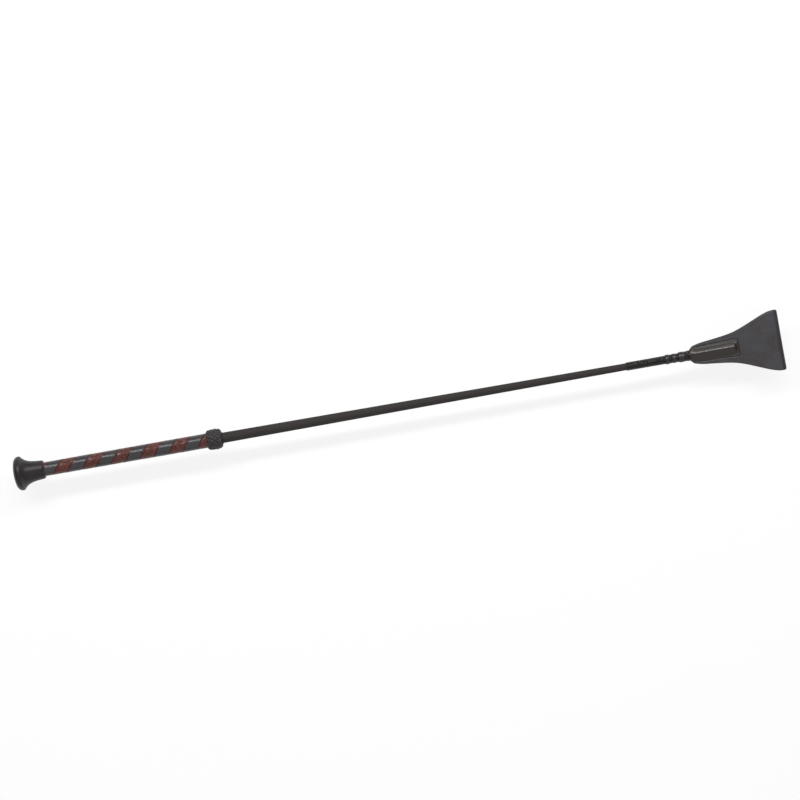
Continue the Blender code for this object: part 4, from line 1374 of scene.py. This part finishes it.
def flap_half_width(x):
    """Half width of the flap's outline, a smooth curve through its points."""
    share = min(max((x - FLAP_START) / FLAP_LENGTH, 0.0), 1.0)
    places = FLAP_HALF_WIDTHS
    index = 0
    while index < len(places) - 2 and share > places[index + 1][0]:
        index += 1
    (start, low), (end, high) = places[index], places[index + 1]
    before = places[max(index - 1, 0)]
    after = places[min(index + 2, len(places) - 1)]
    slope_in = (high - before[1]) / (end - before[0]) * (end - start)
    slope_out = (after[1] - low) / (after[0] - start) * (end - start)
    t = (share - start) / (end - start)
    return (
        low * (2 * t ** 3 - 3 * t ** 2 + 1) + slope_in * (t ** 3 - 2 * t ** 2 + t)
        + high * (3 * t ** 2 - 2 * t ** 3) + slope_out * (t ** 3 - t ** 2)
    )


def flap_outline(x):
    """Half width with the two rounded far corners, never past the solids' box."""
    corner = FLAP_END - FLAP_CORNER_RADIUS
    inward = min(max((x - corner) / FLAP_CORNER_RADIUS, 0.0), 1.0)
    half_width = min(flap_half_width(x), CAD_BOX[1][1])
    return half_width - FLAP_CORNER_RADIUS * (1 - math.sqrt(max(1 - inward ** 2, 0.0)))


def leather_thickness(x, looks):
    opened = ease((x - FLAP_START) / NECK_OPENING_LENGTH)
    return mix(NECK_LEATHER_THICKNESS, looks.thickness, opened)


def pocket_height(x, y, half_height, looks):
    """Height of the leather over the rod, above the flat leather beside it."""
    top = rod_radius(x) + FIT_GAP + leather_thickness(x, looks)
    rise = (top - half_height + POCKET_LOFT) * ease((SEAM_END - x) / POCKET_END_LENGTH)
    beside = y - RIDGE_SHIFT
    across = abs(beside) / (POCKET_HALF_WIDTH - math.copysign(RIDGE_SHIFT, beside))
    fall = math.hypot(across, RIDGE_ROUND) - RIDGE_ROUND
    level = 1 - fall / (math.hypot(1.0, RIDGE_ROUND) - RIDGE_ROUND)
    return rise * (level + math.hypot(level, FOOT_ROUND)) / 2


def seam_dip(x, y, pitch):
    """How far the stitches pull the leather down, with a dimple at each hole."""
    share = (x - SEAM_START) / (SEAM_END - SEAM_START)
    line = mix(SEAM_HALF_WIDTH_REAR, SEAM_HALF_WIDTH_FRONT, share)
    beyond = max(x - SEAM_END, SEAM_START - x, 0.0)
    beside = math.hypot(abs(y) - line, beyond)
    ahead = math.hypot(x - SEAM_END, max(abs(y) - SEAM_HALF_WIDTH_FRONT, 0.0))
    distance, travelled = (beside, x - SEAM_START) if beside < ahead else (ahead, y)
    hole = 0.5 + 0.5 * math.cos(math.tau * travelled / pitch)
    groove = (0.00010 + 0.00010 * hole) * math.exp(-(distance / 0.00045) ** 2)
    swell = 0.00006 * math.exp(-((distance - 0.0011) / 0.0006) ** 2)
    return groove - swell


def leather_wave(x, y, looks):
    """The leather's gentle rise and fall in front of and beside the pocket."""
    ahead = ease((x - SEAM_END + 0.01) / 0.02)
    free = ahead * ease((abs(y) - 0.004) / 0.012 + (x - SEAM_END) / 0.02)
    wave = math.sin(x * 190 + y * 60 + 0.7) + 0.7 * math.sin(x * 90 - y * 170 + 2.1)
    return looks.ripple * free * wave


def flap_sides(x):
    """Places across the leather at a distance along it, closer together beside the seam."""
    reach = flap_outline(x) - EDGE_ROUND
    squeeze = min(reach * SEAM_ZONE_SHARE / (SEAM_HALF_WIDTH_FRONT + SEAM_ZONE), 1.0)
    positive, start = [], 0.0
    for end, steps in SIDE_STEPS:
        positive += [mix(start, end * squeeze, step / steps) for step in range(steps)]
        start = end * squeeze
    positive += [mix(start, reach, step / LAST_SIDE_STEPS) for step in range(LAST_SIDE_STEPS + 1)]
    return [-y for y in reversed(positive[1:])] + positive


def flap_row(x, fold_angle, direction, looks, pitch):
    """Points of the leather's outer side across one place along it, with their outward ways."""
    half_height = LAYER_GAP / 2 + looks.thickness
    opened = ease((x - FLAP_START) / NECK_OPENING_LENGTH)
    spread = min(max((x - FLAP_START) / NECK_SPREAD_LENGTH, 0.0), 1.0)
    radius = neck_radius(x)
    half_width = mix(radius, flap_outline(x), spread)
    sides = [y / flap_outline(x) for y in flap_sides(x)]
    swell = ease((x - BEND_LINE - FOLD_OPENS_AT) / (FOLD_START - BEND_LINE - FOLD_OPENS_AT))
    flat_height = mix(half_height, FOLD_HALF_HEIGHT, swell)
    outer = []
    for side in sides:
        y = half_width * mix(math.sin(side * math.pi / 2), side, opened)
        if fold_angle is not None:
            place = Vector((
                FOLD_START + FOLD_LENGTH * math.sin(fold_angle), y,
                FOLD_HALF_HEIGHT * math.cos(fold_angle)))
        else:
            round_z = LAYER_GAP / 2 + (radius - LAYER_GAP / 2) * math.cos(side * math.pi / 2)
            flat_z = flat_height + pocket_height(x, y, half_height, looks)
            flat_z -= seam_dip(x, y, pitch)
            flattened = ease((x - FLAP_START) / NECK_FLATTENING_LENGTH)
            place = Vector((x, y, mix(round_z, flat_z, flattened) * direction))
        outer.append(place)
    outward = []
    for index in range(len(outer)):
        before, after = outer[max(index - 1, 0)], outer[min(index + 1, len(outer) - 1)]
        if fold_angle is not None:
            way = Vector((
                math.sin(fold_angle) / FOLD_LENGTH, 0.0, math.cos(fold_angle) / FOLD_HALF_HEIGHT))
        else:
            way = Vector((0.0, before.z - after.z, after.y - before.y)) * direction
            if way.z * direction < 0:
                way = -way
        outward.append(way.normalized())
    return outer, outward


def flap_ring(x, fold_angle, direction, looks, pitch):
    """One closed section of the leather, with rounded cut edges, and its points' edge marks."""
    outer, outward = flap_row(x, fold_angle, direction, looks, pitch)
    thickness = leather_thickness(x, looks)
    inner = []
    for place, way in zip(outer, outward):
        under = place - way * thickness
        if fold_angle is None:
            under.z = max(under.z * direction, LAYER_GAP / 2) * direction
        inner.append(under)

    def cut_edge(index, neighbour):
        middle = (outer[index] + inner[index]) / 2
        half = (outer[index] - inner[index]) / 2
        sideways = (outer[index] - outer[neighbour]).normalized() * EDGE_ROUND
        points = []
        for step in range(1, EDGE_STEPS):
            angle = math.pi / 2 - math.pi * step / EDGE_STEPS
            points.append(middle + half * math.sin(angle) + sideways * math.cos(angle))
        return points

    right = cut_edge(-1, -2)
    left = list(reversed(cut_edge(0, 1)))
    ring = outer + right + list(reversed(inner)) + left
    marks = [0.0] * len(outer) + [1.0] * len(right) + [0.0] * len(inner) + [1.0] * len(left)
    waved = [point + Vector((0.0, 0.0, leather_wave(point.x, point.y, looks))) for point in ring]
    return waved, marks


def flap_places():
    """(distance along the crop, angle in the fold, side) for each section, in order round it."""
    zones = (
        (NECK_START, FLAP_START, NECK_SECTIONS), (FLAP_START, SPREAD_END, SPREAD_SECTIONS),
        (SPREAD_END, FINE_END, round((FINE_END - SPREAD_END) / FINE_STEP)),
        (FINE_END, FOLD_START, round((FOLD_START - FINE_END) / LOOSE_STEP)),
    )
    lengths = []
    for start, end, steps in zones:
        lengths += [mix(start, end, step / steps) for step in range(steps)]
    upper = [(x, None, 1) for x in lengths]
    fold = []
    for step in range(FOLD_STEPS + 1):
        angle = math.pi * step / FOLD_STEPS
        fold.append((FOLD_START + FOLD_LENGTH * math.sin(angle), angle, 1))
    return upper + fold + [(x, None, -1) for x in reversed(lengths)]


class CROP_OT_flap(bpy.types.Operator):
    """Fold the leather flap round the shaft's tip"""
    bl_idname = "crop.flap"
    bl_label = "Leather flap"

    def execute(self, context):
        looks = context.scene.crop_flap
        seam = context.scene.crop_seam
        rows, pairs, edges = [], [], []
        travelled = 0.0
        for place in flap_places():
            ring, marks = flap_ring(*place, looks, seam.pitch)
            if rows:
                travelled += (ring[len(ring) // 4] - rows[-1][len(ring) // 4]).length / MM
            rows.append(ring)
            edges.append(marks)
            pairs.append([(travelled, point.y / MM) for point in ring + ring[:1]])
        shape = [[list(point) for point in row] for row in rows]
        marks = {"rest_place": shape, "cut_edge": edges}
        mesh = skin("folded_flap", shape, pairs, marks=marks)
        made = add_piece(
            "folded_flap", mesh, flap_leather(looks, seam),
            ["flap_upper_leather", "flap_lower_leather", "flap_folded_end"], body=None)
        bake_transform(made)
        return {"FINISHED"}


# Seams

STITCH_SEAT = 0.00008  # how far the stitches' line lies under the leather's face
STITCH_LENGTH = 0.86  # of the pitch
STITCH_SINK = 0.45  # of the thread's thickness
STITCH_SLANT = 0.2


class CROP_OT_seams(bpy.types.Operator):
    """Sew the stitches beside and in front of the shaft's tip on both faces"""
    bl_idname = "crop.seams"
    bl_label = "Seam stitches"

    def execute(self, context):
        looks = context.scene.crop_seam
        height = LAYER_GAP / 2 + context.scene.crop_flap.thickness - STITCH_SEAT
        tree = stitches_tree()
        material = seam_thread(looks)
        margin = looks.pitch / 2
        rear, front = SEAM_HALF_WIDTH_REAR, SEAM_HALF_WIDTH_FRONT
        for name, node, side in (
                ("upper_stitches", "upper_seam_stitches", 1),
                ("lower_stitches", "lower_seam_stitches", -1)):
            level = height * side
            lines = [
                [(SEAM_START + margin, -rear, level), (SEAM_END - margin, -front, level)],
                [(SEAM_END, margin - front, level), (SEAM_END, front - margin, level)],
                [(SEAM_END - margin, front, level), (SEAM_START + margin, rear, level)],
            ]
            mesh = grow(name, tree, routes(name + "_route", lines), {
                "Pitch": looks.pitch, "Length": looks.pitch * STITCH_LENGTH,
                "Width": looks.width, "Sink": looks.width * STITCH_SINK * side,
                "Slant": STITCH_SLANT * side, "Seed": 3 + side, "Material": material,
            })
            add_piece(name, mesh, None, [node])
        return {"FINISHED"}


# Inner pieces


class CROP_OT_inner_pieces(bpy.types.Operator):
    """Give the rod, the grip's core and the knot's underlay their finishes"""
    bl_idname = "crop.inner_pieces"
    bl_label = "Inner pieces"

    def execute(self, context):
        finishes = {
            "core_rod": rod_fibreglass(), "grip_core": core_rubber(),
            "knot_underlay": underlay_cord()}
        for node, material in finishes.items():
            carried = frame["nodes"][node]
            for slot in carried.material_slots:
                slot.material = material
        return {"FINISHED"}


# Stage

FLOOR_SIZE = 9.0
FLOOR_CELLS = 12
FLOOR_CLEARANCE = 0.0012  # under the flap when it is bent right down
CAMERA_MARGIN = 1.035
NEAREST_SEEN = 0.01
LIGHTS = (  # name, size, angle from straight above towards +Y, distance, setting of its power
    ("long_softbox", (1.9, 0.15), math.radians(36), 1.15, "key_strength"),
    ("broad_softbox", (3.2, 2.1), math.radians(-40), 1.5, "fill_strength"),
)
SURROUND_LIGHT = 0.18
SURROUND_MORE_WHEN_SEEN = 0.77


def shown_points():
    """Corners of every shown piece of the crop, in metres."""
    depsgraph = bpy.context.evaluated_depsgraph_get()
    clouds = []
    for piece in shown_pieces():
        mesh = piece.evaluated_get(depsgraph).data
        cloud = np.zeros(len(mesh.vertices) * 3, np.float32)
        mesh.vertices.foreach_get("co", cloud)
        clouds.append(cloud.reshape(-1, 3))
    return np.concatenate(clouds).astype(float)


def add_light(name, size, place, target, power):
    """A softbox that faces its target and isn't seen itself."""
    light = bpy.data.lights.new(name, "AREA")
    light.shape = "RECTANGLE"
    light.size, light.size_y = size
    light.energy = power
    lamp = bpy.data.objects.new(name, light)
    bpy.context.scene.collection.objects.link(lamp)
    lamp.location = place
    lamp.rotation_euler = (Vector(target) - Vector(place)).to_track_quat("-Z", "Y").to_euler()
    lamp.visible_camera = False


class CROP_OT_stage(bpy.types.Operator):
    """Set a white floor under the crop, with soft studio light, seen from straight above"""
    bl_idname = "crop.stage"
    bl_label = "Studio"

    def execute(self, context):
        scene = context.scene
        looks = scene.crop_stage
        points = shown_points()
        self.add_floor(looks)
        self.add_camera(scene, looks, points)
        self.add_lights(scene, looks)
        return {"FINISHED"}

    def add_floor(self, looks):
        bent_down = (FLAP_END - BEND_LINE) * math.sin(BEND_LIMIT) + FOLD_HALF_HEIGHT
        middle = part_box("shaft_cover")[0].x
        working = bmesh.new()
        bmesh.ops.create_grid(
            working, x_segments=FLOOR_CELLS, y_segments=FLOOR_CELLS, size=FLOOR_SIZE / 2)
        for vert in working.verts:
            vert.co.x += middle
            vert.co.z = -bent_down - FLOOR_CLEARANCE
        mesh = bpy.data.meshes.new("studio_floor")
        working.to_mesh(mesh)
        working.free()
        mesh.materials.append(studio_floor(looks))
        floor = bpy.data.objects.new("studio_floor", mesh)
        bpy.context.scene.collection.objects.link(floor)
        floor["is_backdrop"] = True

    def add_camera(self, scene, looks, points):
        turn = looks.picture_turn
        right = points[:, 0] * math.cos(turn) - points[:, 1] * math.sin(turn)
        up = points[:, 0] * math.sin(turn) + points[:, 1] * math.cos(turn)
        centre_right = (right.min() + right.max()) / 2
        centre_up = (up.min() + up.max()) / 2
        reach = max(np.ptp(right) / IMAGE_WIDTH, np.ptp(up) / IMAGE_HEIGHT) * IMAGE_WIDTH
        camera = bpy.data.cameras.new("camera")
        camera.lens = looks.lens
        camera.clip_start = NEAREST_SEEN
        distance = reach * CAMERA_MARGIN * camera.lens / camera.sensor_width
        seat = bpy.data.objects.new("camera", camera)
        seat.location = (
            centre_right * math.cos(turn) + centre_up * math.sin(turn),
            centre_up * math.cos(turn) - centre_right * math.sin(turn), distance)
        seat.rotation_euler = (0.0, 0.0, -turn)
        scene.collection.objects.link(seat)
        scene.camera = seat

    def add_lights(self, scene, looks):
        middle = (FLAP_END / 2, 0.0, 0.0)
        for name, size, angle, distance, power in LIGHTS:
            place = (middle[0], distance * math.sin(angle), distance * math.cos(angle))
            add_light(name, size, place, middle, getattr(looks, power))
        world = bpy.data.worlds.new("studio_surround")
        scene.world = world
        world.use_nodes = True
        graph = Graph(world.node_tree)
        seen = graph.node("ShaderNodeLightPath", out="Is Camera Ray")
        surround = graph.node("ShaderNodeBackground", sockets={
            "Color": (1.0, 1.0, 1.0, 1.0),
            "Strength": seen * SURROUND_MORE_WHEN_SEEN + SURROUND_LIGHT})
        graph.node("ShaderNodeOutputWorld", sockets={"Surface": surround})
        scene.view_settings.view_transform = "Standard"
        scene.view_settings.look = "None"


OPERATORS = (
    CROP_OT_end_cap, CROP_OT_grip, CROP_OT_knot, CROP_OT_shaft, CROP_OT_windings, CROP_OT_bands,
    CROP_OT_flap, CROP_OT_seams, CROP_OT_inner_pieces, CROP_OT_stage,
)


class CROP_PT_looks(bpy.types.Panel):
    """Sizes, colours and steps of the riding crop"""
    bl_idname = "CROP_PT_looks"
    bl_label = "Riding Crop"
    bl_space_type = "VIEW_3D"
    bl_region_type = "UI"
    bl_category = "Riding Crop"

    def draw(self, context):
        layout = self.layout
        for name, group in LOOKS.items():
            box = layout.box()
            box.label(text=name.replace("crop_", "").title())
            for setting in group.__annotations__:
                box.prop(getattr(context.scene, name), setting)
        for operator in OPERATORS:
            layout.operator(operator.bl_idname)


def register():
    for group in LOOKS.values():
        bpy.utils.register_class(group)
    for name, group in LOOKS.items():
        setattr(bpy.types.Scene, name, PointerProperty(type=group))
    for operator in OPERATORS:
        bpy.utils.register_class(operator)
    bpy.utils.register_class(CROP_PT_looks)


def unregister():
    bpy.utils.unregister_class(CROP_PT_looks)
    for operator in reversed(OPERATORS):
        bpy.utils.unregister_class(operator)
    for name in LOOKS:
        delattr(bpy.types.Scene, name)
    for group in reversed(LOOKS.values()):
        bpy.utils.unregister_class(group)


def main():
    for leftover in [item for item in bpy.data.objects if item.type in {"LIGHT", "CAMERA"}]:
        bpy.data.objects.remove(leftover)
    register()
    bpy.ops.crop.end_cap()
    bpy.ops.crop.grip()
    bpy.ops.crop.knot()
    bpy.ops.crop.shaft()
    bpy.ops.crop.windings()
    bpy.ops.crop.bands()
    bpy.ops.crop.flap()
    bpy.ops.crop.seams()
    bpy.ops.crop.inner_pieces()
    bpy.ops.crop.stage()


if __name__ == "__main__":
    main()
